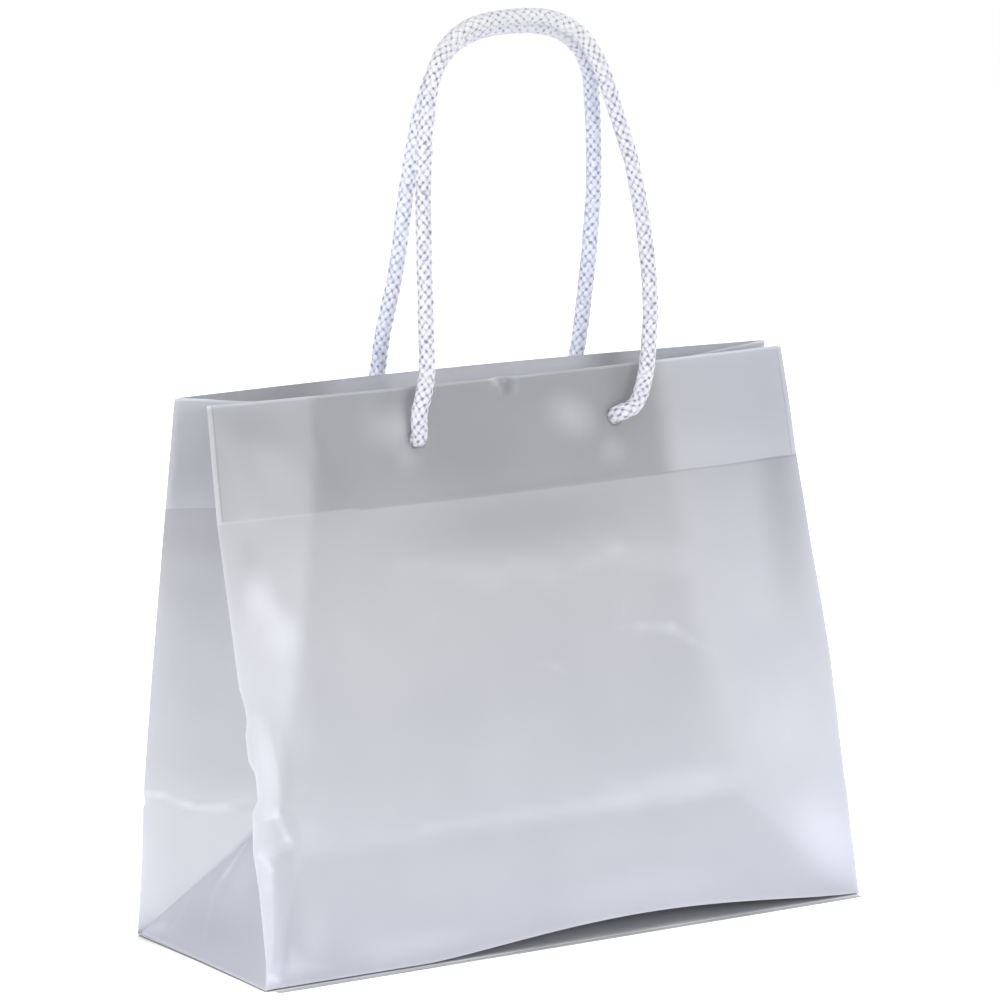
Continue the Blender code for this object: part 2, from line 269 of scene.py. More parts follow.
@dataclass
class FilmShape:
    """The folded film's own sizes, and where each part of it lies."""

    width: float = 254.0 * MM
    depth: float = 92.0 * MM
    rim: float = 201.2 * MM
    base: float = 0.6 * MM
    gap_left: float = 20.0 * MM
    gap_right: float = 9.4 * MM
    shift_x: float = -4.6 * MM
    shift_y: float = 2.0 * MM
    turn: float = 0.054
    bow_front: float = 5.0 * MM
    bow_back: float = 8.0 * MM
    swell: float = 3.5 * MM
    right_swell: float = 5.5 * MM
    right_swell_top: float = 0.82
    apex: float = 46.5 * MM
    gusset_half: float = 46.5 * MM
    fold_width: float = 1.2 * MM
    hem: float = 40.0 * MM
    layer_gap: float = 0.30 * MM
    stripe_left: float = 2.1 * MM
    stripe_right: float = 2.4 * MM
    left_lean: float = 7.5 * MM
    right_lean: float = 3.0 * MM
    left_dip: float = 2.0 * MM
    right_dip: float = 1.4 * MM
    left_standoff: float = 2.0 * MM
    arch_lift: float = 5.7 * MM
    arch_start: float = -62.0 * MM
    arch_end: float = 123.0 * MM
    arch_shape: float = 1.3
    arch_fade_up: float = 30.0 * MM
    arch_fade_back: float = 26.0 * MM

    corner_shifts = {
        (Side.LEFT, Face.FRONT): (Vector((-0.2, -1.2, 0.0)), Vector((-0.5, 0.2, -0.35))),
        (Side.LEFT, Face.BACK): (Vector((-3.1, -2.1, 0.0)), Vector((-1.0, 0.55, 0.0))),
        (Side.RIGHT, Face.FRONT): (Vector((-0.8, -1.0, 0.0)), Vector((1.8, -1.0, 0.8))),
        (Side.RIGHT, Face.BACK): (Vector((-1.0, -1.5, 0.0)), Vector((2.0, -0.7, 1.8))),
    }
    front_left_kinks = (
        (0.0, 0.0), (0.034, 0.0003), (0.048, -0.0004), (0.056, 0.0004), (0.0615, 0.0010),
        (0.0655, 0.0036), (0.0745, 0.0038), (0.0790, 0.0016), (0.0880, 0.0014), (0.0925, 0.0026),
        (0.0975, 0.0024), (0.1045, 0.0009), (0.1200, 0.0005), (0.1600, -0.0008), (0.2012, 0.0),
    )
    right_kinks = (
        (0.0, 0.0004), (0.0140, 0.0006), (0.0250, 0.0000), (0.0366, -0.0006), (0.0440, -0.0015), (0.0595, -0.0026),
        (0.0760, -0.0030), (0.0980, -0.0026), (0.1095, -0.0021), (0.1265, -0.0012), (0.1450, 0.0001),
        (0.1655, 0.0003), (0.1820, 0.0004), (0.2012, 0.0),
    )
    back_left_kinks = (
        (0.0, 0.0), (0.030, -0.0004), (0.050, -0.0014), (0.0515, -0.0006), (0.0550, -0.0016),
        (0.1000, -0.0015), (0.1500, -0.0008), (0.2012, 0.0),
    )
    ridge_kinks = (
        (0.0, 0.0554), (0.10, 0.0562), (0.17, 0.0560), (0.27, 0.0537), (0.38, 0.0530), (0.52, 0.0512),
        (0.57, 0.0517), (0.61, 0.0510), (0.68, 0.0526), (1.0, 0.0560),
    )
    triangle_relief = (
        Crease((0.0060, 0.0400), (0.0100, 0.0260), 0.0030, 0.0009),
        Crease((0.0112, 0.0345), (0.0120, 0.0200), 0.0040, 0.0008),
        Crease((0.0120, 0.0216), (0.0040, 0.0050), 0.0040, 0.0008),
        Crease((0.0268, 0.0170), (0.0278, 0.0045), 0.0035, 0.0008),
    )
    front_relief = (
        Pillow(-0.1120, 0.1275, 0.0125, 0.0165, 0.0015, turn=0.36),
        Pillow(-0.1130, 0.0860, 0.012, 0.010, -0.0006),
        Pillow(-0.1120, 0.0540, 0.010, 0.008, -0.0010),
        Crease((-0.1185, 0.0930), (-0.1155, 0.0620), 0.006, 0.0014),
        Crease((-0.1270, 0.0580), (-0.1140, 0.0598), 0.004, 0.0006),
        Crease((-0.1190, 0.0620), (-0.1110, 0.0480), 0.005, 0.0010),
        Crease((-0.1100, 0.0490), (-0.1275, 0.0440), 0.004, 0.0010),
        Crease((-0.1220, 0.0440), (-0.1236, 0.0300), 0.004, 0.0013),
        Crease((-0.1225, 0.0330), (-0.1262, 0.0020), 0.004, 0.0013),
        Crease((-0.1265, 0.0050), (-0.1180, 0.0010), 0.003, 0.0012),
        Crease((-0.1180, 0.0090), (-0.0980, 0.0050), 0.008, 0.0011),
        Pillow(-0.1120, 0.0240, 0.011, 0.020, -0.0012),
        Pillow(-0.0600, 0.1900, 0.013, 0.016, 0.0012),
        Pillow(0.0255, 0.1900, 0.013, 0.014, 0.0012),
        Pillow(-0.0480, 0.1827, 0.008, 0.008, -0.0013),
        Pillow(0.0400, 0.1827, 0.008, 0.008, -0.0013),
        Pillow(-0.0080, 0.2000, 0.006, 0.007, -0.0028),
        Pillow(-0.0020, 0.1990, 0.004, 0.008, 0.0010),
        Pillow(-0.0950, 0.1750, 0.026, 0.015, 0.0012, turn=-0.6),
        Pillow(0.0420, 0.1370, 0.024, 0.008, 0.0010, turn=0.15),
        Pillow(-0.0100, 0.1430, 0.030, 0.010, 0.0009, turn=0.10),
        Crease((0.0440, 0.1120), (0.0640, 0.1040), 0.006, 0.0008),
        Crease((0.0400, 0.1140), (0.0480, 0.1120), 0.004, 0.0006),
        Crease((-0.0010, 0.1010), (0.0110, 0.0970), 0.003, 0.0004),
        Pillow(0.0250, 0.0480, 0.060, 0.012, 0.0013, turn=0.08),
        Pillow(0.0700, 0.0520, 0.030, 0.010, 0.0010, turn=0.10),
        Pillow(0.0900, 0.1650, 0.020, 0.030, 0.0012, turn=0.2),
        Pillow(-0.0300, 0.0800, 0.050, 0.030, -0.0012),
    )
    back_relief = (
        Pillow(-0.0435, 0.1827, 0.008, 0.008, -0.0013),
        Pillow(0.0435, 0.1827, 0.008, 0.008, -0.0013),
        Pillow(-0.0200, 0.0700, 0.060, 0.030, 0.0014),
        Pillow(0.0600, 0.1300, 0.035, 0.020, -0.0012, turn=0.3),
        Crease((-0.1150, 0.0500), (-0.0850, 0.0620), 0.008, 0.0010),
        Crease((0.0900, 0.0400), (0.1150, 0.0560), 0.007, 0.0009),
    )

    def share_up(self, z: float) -> float:
        """Height as a share of the way from the base to the rim."""
        return (z - self.base) / (self.rim - self.base)

    def edge(self, side: Side, face: Face, z: float) -> Vector:
        """Point on one of the four upright edges."""
        share = self.share_up(z)
        foot = Vector((side.value * self.width / 2, face.value * self.depth / 2, self.base))
        gap = self.gap_left if side is Side.LEFT else self.gap_right
        x, y = side.value * self.width / 2, face.value * gap / 2
        cos, sin = math.cos(self.turn), math.sin(self.turn)
        top = Vector((x * cos - y * sin + self.shift_x, x * sin + y * cos + self.shift_y, self.rim))
        foot_shift, top_shift = self.corner_shifts[side, face]
        point = mix(foot + foot_shift * MM, top + top_shift * MM, share)
        if side is Side.RIGHT:
            part = clamp(share / self.right_swell_top)
            amount = 1.0 if face is Face.FRONT else 0.4
            point.x += amount * (self.right_swell * math.sin(math.pi * part) ** 2 + kinked(self.right_kinks, z))
        else:
            kinks = self.front_left_kinks if face is Face.FRONT else self.back_left_kinks
            point.x += kinked(kinks, z)
        return point

    def gusset_tip(self, side: Side, z: float) -> Vector:
        """Middle of a gusset's inner fold, or of the base triangle that leans in below it."""
        if z < self.apex:
            foot = (self.edge(side, Face.FRONT, self.base) + self.edge(side, Face.BACK, self.base)) / 2
            return mix(foot, self.gusset_tip(side, self.apex), (z - self.base) / (self.apex - self.base))
        front, back = self.edge(side, Face.FRONT, z), self.edge(side, Face.BACK, z)
        half_gap = (back - front).length / 2
        middle = (front + back) / 2
        middle.x -= side.value * math.sqrt(max(self.gusset_half**2 - half_gap**2, 1e-8))
        lean = self.left_lean if side is Side.LEFT else self.right_lean
        middle.y -= lean * ease((z - 0.090) / 0.110)
        return middle

    def rim_dip(self, side: Side, share: float, z: float) -> float:
        """How far a gusset's top sinks as it folds in."""
        near_rim = ease((z - 0.165) / 0.036)
        if side is Side.RIGHT:
            return self.right_dip * share * near_rim
        return self.left_dip * ease(share / 0.6) * near_rim

    def fold(self, side: Side, face: Face, z: float) -> Vector:
        """Point on the gusset fold, which splits into two diagonals under its tip."""
        middle = self.gusset_tip(side, z)
        below = max(0.0, (self.apex - z) / (self.apex - self.base))
        half = blend(self.fold_width / 2, self.depth / 2, below)
        return Vector((middle.x, middle.y + face.value * half, z - self.rim_dip(side, 1.0, z)))

    def arch(self, x: float) -> float:
        """Share of the front fold's lift at x."""
        share = (x - self.arch_start) / (self.arch_end - self.arch_start)
        if share <= 0.0 or share >= 1.0:
            return 0.0
        return math.sin(math.pi * share) ** self.arch_shape

    def panel(self, face: Face, share: float, z: float) -> Vector:
        """Point on the outside of the front or back panel."""
        point = mix(self.edge(Side.LEFT, face, z), self.edge(Side.RIGHT, face, z), share)
        up = self.share_up(z)
        bow = self.bow_front if face is Face.FRONT else self.bow_back
        swell = self.swell * math.sin(math.pi * up) + bow * up**2
        across = math.sin(math.pi * share)
        relief = self.front_relief if face is Face.FRONT else self.back_relief
        settle = clamp(share * self.width / (6 * MM)) * clamp((1 - share) * self.width / (6 * MM))
        lift = total_lift(relief, point.x, z) * settle * clamp((z - self.base) / (3 * MM))
        point.y += face.value * (swell * across + lift)
        if face is Face.FRONT:
            fade = max(0.0, 1.0 - (z - self.base) / self.arch_fade_up)
            point.z += self.arch_lift * self.arch(point.x) * fade
        return point

    def bottom(self, share: float, depth_share: float) -> Vector:
        """Point on the underside of the inner bottom."""
        front = self.panel(Face.FRONT, share, self.base)
        back = self.panel(Face.BACK, share, self.base)
        point = mix(front, back, depth_share)
        fade = max(0.0, 1.0 - (point.y - front.y) / self.arch_fade_back)
        point.z = self.base + (front.z - self.base) * fade
        return point

    def gusset_relief(self, side: Side, face: Face, share: float, z: float) -> float:
        """Height of the crumples across a gusset half, towards its outside."""
        if side is Side.RIGHT:
            soft = Pillow(0.5, 0.110, 0.45, 0.045, 1.2 * MM)
            return soft.lift(share, z)
        soft = Pillow(0.5, 0.120, 0.45, 0.040, -1.2 * MM)
        line = kinked(self.ridge_kinks, share if face is Face.BACK else 1.0 - share)
        under = clamp(1.0 + (z - line) / 0.0042)
        over = clamp(1.0 - (z - line) / 0.0012)
        return soft.lift(share, z) + 1.0 * MM * min(under, over)

    def gusset(self, side: Side, face: Face, share: float, z: float) -> Vector:
        """Point on a gusset half, share 0 at the upright edge and 1 at the fold."""
        edge, fold = self.edge(side, face, z), self.fold(side, face, z)
        point = mix(edge, fold, share)
        point.z += self.rim_dip(side, 1.0, z) * share - self.rim_dip(side, share, z)
        run = fold - edge
        if run.length < 1 * MM:
            return point
        outward = Vector((run.y, -run.x, 0.0)).normalized()
        if outward.y * face.value > 0:
            outward = -outward
        arc = math.sin(math.pi * share)
        lift = self.gusset_relief(side, face, share, z) * clamp(run.length / (30 * MM)) * arc
        if side is Side.LEFT and face is Face.FRONT:
            lift += self.left_standoff * ease((z - 0.110) / 0.060) * math.sqrt(max(arc, 0.0))
        return point + outward * lift

    def triangle(self, side: Side, share: float, z: float) -> Vector:
        """Point on the base triangle, or on the fold's narrow back above it."""
        point = mix(self.fold(side, Face.FRONT, z), self.fold(side, Face.BACK, z), share)
        if z >= self.apex:
            return point
        down = (self.apex - z) / (self.apex - self.base)
        room = clamp(6.0 * share) * clamp(6.0 * (1.0 - share)) * clamp(5.0 * (1.0 - down))
        point.x += side.value * room * total_lift(self.triangle_relief, self.spread(share, z), z)
        return point

    def spread(self, share: float, z: float) -> float:
        """Distance from the middle line of a base triangle."""
        return (share - 0.5) * self.depth * (self.apex - z) / (self.apex - self.base)


@dataclass
class PaintedFilmShading:
    """How light the film is painted from place to place, standing in for light through it, glints and shadows, and
    how cool and how dense it looks.
    """

    shape: FilmShape
    left_fold = ((0.0, -0.126), (0.044, -0.123), (0.081, -0.113), (0.114, -0.103), (0.164, -0.0935), (0.201, -0.089))
    right_fold = ((0.0, 0.090), (0.049, 0.077), (0.086, 0.0695), (0.110, 0.0645), (0.155, 0.0640), (0.201, 0.0615))
    left_fold_light: float = 0.15
    right_fold_light: float = 0.11
    right_shadow: float = 0.17
    foot_shade: float = 0.055
    foot_height: float = 46.0 * MM
    hem_shade: float = 0.070
    back_light: float = 0.58
    left_hem_light: float = 0.045
    right_hem_light: float = 0.19
    left_stripe_light: float = 0.07
    right_stripe_light: float = 0.15
    edge_highlight: float = 0.06
    left_hem_line: float = 0.10
    right_hem_line: float = 0.17
    back_right_light_loss: float = 0.60
    back_left_light_loss: float = 0.45
    painted_rim_line: float = 0.20
    stripe_line: float = 0.24
    # the gussets are painted lighter than the panels, most of all in the hem
    gusset_wall_light: float = 1.07
    gusset_hem_light: float = 1.28
    # painted highlights and shade on the front panel: glints on the left, light patches by the holes, light ripples
    # and streaks, and darker patches
    painted_glints_and_shade = (
        Pillow(-0.1165, 0.1350, 0.0085, 0.014, 0.12, turn=0.35),
        Pillow(-0.1095, 0.1210, 0.0100, 0.013, 0.16, turn=0.20),
        Pillow(-0.1200, 0.1470, 0.0075, 0.013, -0.07),
        Pillow(-0.1090, 0.1020, 0.012, 0.030, 0.05),
        Pillow(-0.0560, 0.1870, 0.013, 0.012, 0.28, turn=-0.5),
        Pillow(-0.0520, 0.1765, 0.009, 0.006, 0.14, turn=0.3),
        Pillow(0.0200, 0.1850, 0.017, 0.011, 0.22, turn=-0.4),
        Pillow(0.0370, 0.1710, 0.009, 0.007, 0.14),
        Pillow(0.0450, 0.1960, 0.009, 0.016, -0.10),
        Pillow(-0.0250, 0.1740, 0.034, 0.018, -0.06),
        Pillow(-0.1140, 0.1920, 0.017, 0.010, -0.085, turn=-0.35),
        Streak((-0.1265, 0.1900), (-0.1180, 0.1640), 0.0010, 0.0055, 0.050, 0.0070),
        Pillow(-0.0570, 0.1400, 0.010, 0.004, 0.04),
        Streak((-0.0500, 0.1388), (-0.0200, 0.1312), 0.0016, 0.0042, 0.055, 0.0040),
        Streak((-0.0140, 0.1352), (0.0040, 0.1305), 0.0020, 0.0040, 0.050, 0.0040),
        Streak((0.0120, 0.1305), (0.0335, 0.1362), 0.0010, 0.0028, 0.060, 0.0030),
        Streak((0.0320, 0.1355), (0.0610, 0.1290), 0.0035, 0.0060, 0.060, 0.0050),
        Streak((0.0285, 0.1087), (0.0410, 0.1076), 0.0004, 0.0012, 0.045, 0.0018),
        Streak((0.0400, 0.1076), (0.0540, 0.1060), 0.0014, 0.0020, 0.075, 0.0024),
        Streak((0.0540, 0.1060), (0.0630, 0.1000), 0.0020, 0.0014, 0.075, 0.0024),
        Streak((0.0630, 0.1000), (0.0740, 0.0945), 0.0012, 0.0006, 0.045, 0.0024),
        Streak((-0.0070, 0.0999), (0.0008, 0.0978), 0.0008, 0.0012, 0.035, 0.0024),
        Streak((0.0008, 0.0978), (0.0060, 0.0942), 0.0012, 0.0008, 0.035, 0.0024),
        Streak((0.0331, 0.1175), (0.0330, 0.1115), 0.0005, 0.0005, 0.060, 0.0010),
        Streak((-0.0600, 0.0482), (0.0300, 0.0472), 0.0015, 0.0028, 0.040, 0.0030),
        Streak((-0.0125, 0.2010), (-0.0078, 0.1960), 0.0024, 0.0008, 0.120, 0.0014),
        Streak((-0.0066, 0.2000), (-0.0050, 0.1950), 0.0014, 0.0006, -0.130, 0.0014),
        Streak((-0.1230, 0.0930), (-0.1208, 0.0640), 0.0022, 0.0044, 0.045, 0.0016),
        Streak((-0.1262, 0.0580), (-0.1180, 0.0598), 0.0004, 0.0009, 0.040),
        Streak((-0.1186, 0.0600), (-0.1150, 0.0512), 0.0016, 0.0008, 0.085),
        Streak((-0.1149, 0.0508), (-0.1092, 0.0480), 0.0007, 0.0002, 0.040),
        Streak((-0.1260, 0.0530), (-0.1130, 0.0505), 0.0045, 0.0020, 0.020, 0.0020),
        Streak((-0.1262, 0.0468), (-0.1222, 0.0412), 0.0008, 0.0011, 0.080),
        Streak((-0.1256, 0.0465), (-0.1238, 0.0345), 0.0024, 0.0016, 0.035),
        Streak((-0.1242, 0.0345), (-0.1250, 0.0170), 0.0024, 0.0015, 0.020),
        Streak((-0.1250, 0.0170), (-0.1268, 0.0030), 0.0015, 0.0006, 0.025),
        Streak((-0.1262, 0.0044), (-0.1206, 0.0014), 0.0014, 0.0003, 0.130),
        Streak((-0.1225, 0.0062), (-0.1050, 0.0056), 0.0030, 0.0010, 0.040, 0.0020),
        Streak((-0.1160, 0.0430), (-0.1195, 0.0080), 0.0045, 0.0012, -0.060, 0.0030),
        Pillow(-0.1080, 0.0260, 0.014, 0.024, -0.030),
        Pillow(0.0480, 0.0500, 0.045, 0.009, 0.08),
        Pillow(0.1000, 0.0660, 0.024, 0.022, 0.05),
        Pillow(0.1120, 0.0230, 0.018, 0.026, 0.11, turn=0.7),
        Pillow(-0.0660, 0.0080, 0.034, 0.007, 0.07),
        Pillow(0.0300, 0.0120, 0.050, 0.010, 0.04),
        Pillow(-0.0100, 0.1500, 0.075, 0.017, -0.14),
    )

    # painted light and shade on the gussets: a light crumple line and darker patches
    gusset_light_and_shade_marks = (
        Streak((0.0000, 0.0545), (0.0074, 0.0548), 0.0017, 0.0015, 0.075),
        Streak((0.0074, 0.0548), (0.0158, 0.0520), 0.0015, 0.0014, 0.070),
        Streak((0.0158, 0.0520), (0.0251, 0.0504), 0.0014, 0.0009, 0.065),
        Streak((0.0251, 0.0504), (0.0316, 0.0516), 0.0009, 0.0018, 0.065),
        Streak((0.0000, 0.0700), (0.0350, 0.0640), 0.0080, 0.0080, -0.030, 0.0120),
        Pillow(0.0050, 0.1740, 0.013, 0.014, -0.07),
        Pillow(0.0090, 0.1930, 0.010, 0.010, 0.05),
        Pillow(0.0150, 0.1500, 0.040, 0.012, -0.06),
        Pillow(0.0090, 0.1300, 0.016, 0.008, -0.03),
    )
    # painted light on the facets and creases of the base triangles, with a darker patch low down
    triangle_light_and_shade_marks = (
        Streak((0.0062, 0.0392), (0.0098, 0.0275), 0.0007, 0.0009, 0.120, 0.0008),
        Streak((0.0112, 0.0350), (0.0120, 0.0216), 0.0005, 0.0006, 0.050, 0.0010),
        Streak((0.0120, 0.0216), (0.0044, 0.0070), 0.0006, 0.0006, 0.040, 0.0014),
        Streak((0.0268, 0.0165), (0.0275, 0.0050), 0.0006, 0.0006, 0.050, 0.0014),
        Streak((0.0020, 0.0400), (-0.0010, 0.0290), 0.0025, 0.0060, 0.045, 0.0050),
        Streak((0.0465, 0.0010), (0.0340, 0.0050), 0.0010, 0.0018, 0.090, 0.0020),
        Pillow(0.0000, 0.0110, 0.040, 0.010, -0.050),
    )
    shared_rim = {"light_and_shade": 0.98, "cool": 0.9, "dense": 0.35}
    # the inner bottom is painted a little darker as shade, and made denser
    inner_bottom = {"light_and_shade": 0.90, "cool": 1.0, "dense": 0.75}

    def fold_gain(self, x: float, z: float) -> float:
        """Painted light where a gusset lies close behind the panel, less a painted shadow on the right."""
        left = kinked(self.left_fold, z) - x
        right = x - kinked(self.right_fold, z)
        fade = clamp((z - 0.020) / 0.060)
        width = blend(0.008, 0.0025, clamp((z - 0.110) / 0.080))
        gain = self.left_fold_light * fade * ease(left / width + 0.5)
        shadow = bump_curve((x - 0.1135) / 0.0145) * bump_curve(max(0.0, 0.1400 - z) / 0.055)
        if z > self.shape.rim - self.shape.hem:
            shadow = 0.0
        return gain + fade * (self.right_fold_light * ease(right / 0.014 + 0.5) - self.right_shadow * shadow)

    def foot_loss(self, x: float, z: float) -> float:
        """Shade low on the panel, under the lines where the inner bottom folds up."""
        level = min(self.foot_height * clamp((0.122 - x) / 0.047), 0.044 * clamp((x + 0.124) / 0.014))
        return self.foot_shade * ease((level - z) / 0.006 + 0.5)

    def hem_line(self, x: float, z: float) -> float:
        """The fine line that the hem's cut edge draws on the panel, painted light on the left and a dark line on the
        right.
        """
        edge = self.shape.rim - self.shape.hem
        amount = self.left_hem_line * (1.0 - ease((x + 0.095) / 0.004))
        amount -= self.right_hem_line * ease((x + 0.078) / 0.006)
        return amount * bump_curve((z - edge + 0.0004) / 0.0006)

    def panel(self, face: Face, share: float, x: float, z: float) -> float:
        """Painted light and shade of the front or back panel."""
        left, right = share * self.shape.width, (1.0 - share) * self.shape.width
        stripe = left < self.shape.stripe_left - 0.1 * MM or right < self.shape.stripe_right - 0.1 * MM
        hem = z > self.shape.rim - self.shape.hem
        light_and_shade = 1.0 + self.fold_gain(x, z) - self.foot_loss(x, z)
        # the hem is painted darker, with painted light on its left and right parts and on the narrow stripes beside
        # the edges, a dark line where each stripe ends, and a painted highlight along the upright edges
        if hem and stripe:
            light_and_shade += self.left_stripe_light if left < right else self.right_stripe_light
        elif hem:
            light_and_shade += self.right_hem_light * ease((x - 0.055) / 0.014) - self.hem_shade
            light_and_shade += self.left_hem_light * (1.0 - ease((x + 0.098) / 0.012))
        if hem:
            if abs(left - self.shape.stripe_left) < 0.1 * MM or abs(right - self.shape.stripe_right) < 0.1 * MM:
                light_and_shade -= self.stripe_line
        at_edge = left < 0.1 * MM or right < 0.1 * MM
        if at_edge:
            light_and_shade += self.edge_highlight
        # a thin painted line along the rim: a highlight on the front and on the gussets, painted shade on the back
        top = z > self.shape.rim - 0.8 * MM
        if face is Face.FRONT:
            line = self.painted_rim_line if top else 0.0
            return light_and_shade + total_lift(self.painted_glints_and_shade, x, z) + self.hem_line(x, z) + line
        # the back panel's upright edges take a gusset's painted light, a little lighter; its upper part is painted
        # lighter, less towards its two ends, and loses the gussets' painted light
        if at_edge:
            return self.gusset(0.0, z) + 0.04
        rise = ease((z - 0.100) / 0.080)
        ends = self.back_right_light_loss * ease((x - 0.042) / 0.016) + self.back_left_light_loss * ease((-0.055 - x) / 0.025)
        light_and_shade -= self.fold_gain(x, z) * rise
        line = self.painted_rim_line if top else 0.0
        return light_and_shade + self.back_light * rise * (1.0 - ends) - line

    def gusset(self, share: float, z: float) -> float:
        """Painted light and shade of a gusset half, share 0 at its upright edge."""
        hem = z > self.shape.rim - self.shape.hem
        light_and_shade = self.gusset_hem_light if hem else self.gusset_wall_light
        light_and_shade += total_lift(self.gusset_light_and_shade_marks, share * self.shape.gusset_half, z)
        return light_and_shade + (self.painted_rim_line if z > self.shape.rim - 0.8 * MM else 0.0)

    def values(self, station: "Station", x: float, z: float) -> dict[str, float]:
        """Painted light and shade, coolness and density of the wall at a point.

        Args:
            station: The column that the point is on.
            x: Its place along the width.
            z: Its height before the film sags or arches.

        Returns:
            The three values by attribute name.
        """
        cool = 1.0 - clamp(z / 0.150)
        if station.part is Part.PANEL:
            light_and_shade = self.panel(station.face, station.share, x, z)
            cool = max(cool, 0.55 * ease((x - 0.060) / 0.030))
        elif station.part is Part.FOLD and z < self.shape.apex:
            spread = self.shape.spread(station.share, z)
            # the base triangles are painted darker, and darker still from about 30 mm up
            light_and_shade, cool = 0.90 + total_lift(self.triangle_light_and_shade_marks, spread, z), 1.0
            light_and_shade -= 0.05 * ease((z - 0.030) / 0.012)
        else:
            light_and_shade, cool = self.gusset(station.share, z), 0.30
        return {"light_and_shade": light_and_shade, "cool": cool, "dense": 0.0}


@dataclass(frozen=True)
class Station:
    """One column line of the film: which stretch it is on and how far along."""

    part: Part
    side: Side
    face: Face
    share: float


@dataclass
class FoldedFilm:
    """The bag's film: walls, gussets, bottom, outer bottom flap and the turned-in hem."""

    shape: FilmShape
    light_and_shade: PaintedFilmShading
    panel_columns: int = 43
    crease_columns: int = 28
    crease_zone: tuple[float, float] = (156.0 * MM, 205.0 * MM)
    crumple_columns: int = 20
    crumple_width: float = 20.0 * MM
    scratch: float = 162.2 * MM
    gusset_columns: int = 14
    triangle_columns: int = 44
    hem_rows: int = 10
    film: float = 0.12 * MM
    cut_light_and_shade: float = 0.95
    hole_shade: float = 0.30
    flap_overhang: float = 5.0 * MM
    flap_strips = (2.1 * MM, 2.3 * MM, 3.1 * MM, 3.3 * MM)
    flap_strip_shading = (0.58, 0.58, 1.10, 1.10)
    flap_shade: float = 0.66
    flap_columns: int = 90
    flap_rows: int = 30
    flap_side_inset: float = 2.0 * MM
    flap_back_inset: float = 1.5 * MM
    hole_radius: float = 3.05 * MM
    fold_angle: float = 38.0

    def panel_shares(self) -> list[float]:
        """Column places across a panel, close beside its two upright edges."""
        shape = self.shape
        step = 0.4 * MM
        left = [0.0, shape.stripe_left - step, shape.stripe_left, shape.stripe_left + step]
        right = [shape.width - shape.stripe_right + i * step for i in (-1, 0, 1)] + [shape.width]
        fine, coarse = self.crumple_columns, self.panel_columns
        line = [blend(left[-1], self.crumple_width, i / fine) for i in range(1, fine)]
        start, end = self.crease_zone
        line += [blend(self.crumple_width, start, i / coarse) for i in range(coarse)]
        line += [blend(start, end, i / self.crease_columns) for i in range(self.crease_columns)]
        rest = round(coarse * (right[0] - end) / (start - self.crumple_width))
        line += [blend(end, right[0], i / rest) for i in range(rest)]
        line += [self.scratch + i * 0.5 * MM for i in (-1, 0, 1)]
        return sorted(place / shape.width for place in left + line + right)

    def stations(self) -> list[Station]:
        """Column lines round the bag from the front left edge, with the first one repeated."""
        panel = self.panel_shares()
        line: list[Station] = [Station(Part.PANEL, Side.LEFT, Face.FRONT, s) for s in panel]
        half = [i / self.gusset_columns for i in range(1, self.gusset_columns)]
        fold = [i / self.triangle_columns for i in range(self.triangle_columns + 1)]
        line += [Station(Part.FRONT_HALF, Side.RIGHT, Face.FRONT, s) for s in half]
        line += [Station(Part.FOLD, Side.RIGHT, Face.FRONT, s) for s in fold]
        line += [Station(Part.BACK_HALF, Side.RIGHT, Face.BACK, s) for s in reversed(half)]
        line += [Station(Part.PANEL, Side.LEFT, Face.BACK, s) for s in reversed(panel)]
        line += [Station(Part.BACK_HALF, Side.LEFT, Face.BACK, s) for s in half]
        line += [Station(Part.FOLD, Side.LEFT, Face.FRONT, s) for s in reversed(fold)]
        line += [Station(Part.FRONT_HALF, Side.LEFT, Face.FRONT, s) for s in reversed(half)]
        return line + [line[0]]

    def heights(self) -> list[float]:
        """Row heights of the wall, from the base to just under the rim."""
        shape = self.shape
        edge = shape.rim - shape.hem
        top = shape.rim - shape.layer_gap / 2
        line = [edge + step * MM for step in (-1.1, -0.7, -0.4, -0.1, 0.1)]
        fold = [shape.rim + step * MM for step in (-1.2, -0.7)]
        bands = (
            (shape.base, shape.apex, 41),
            (shape.apex, 0.064, 17),
            (0.064, 0.094, 16),
            (0.094, 0.112, 15),
            (0.112, line[0], 14),
            (line[-1], fold[0], 13),
        )
        rows: list[float] = []
        for low, high, count in bands:
            rows += [blend(low, high, i / count) for i in range(count)]
            if high == line[0]:
                rows += line[:-1]
        return rows + fold + [top]

    def wall_point(self, station: Station, z: float) -> Vector:
        """Point on the outer face of the wall."""
        shape, share = self.shape, station.share
        if station.part is Part.PANEL:
            return shape.panel(station.face, share, z)
        if station.part is Part.FOLD:
            if z < shape.apex - 0.01 * MM:
                return shape.triangle(station.side, share, z)
            return shape.triangle(station.side, 1.0 if share > 0.5 else 0.0, z)
        return shape.gusset(station.side, station.face, share, z)

    def inward(self, station: Station, z: float) -> Vector:
        """Direction from the wall into the bag."""
        if station.part is Part.PANEL:
            return Vector((0.0, -station.face.value, 0.0))
        if station.part is Part.FOLD:
            across = -0.7 if station.share <= 0.5 else 0.7
            return Vector((-station.side.value, across, 0.0))
        run = self.shape.fold(station.side, station.face, z) - self.shape.edge(station.side, station.face, z)
        turned = Vector((run.y, -run.x, 0.0)).normalized()
        return turned if turned.y * station.face.value > 0 else -turned

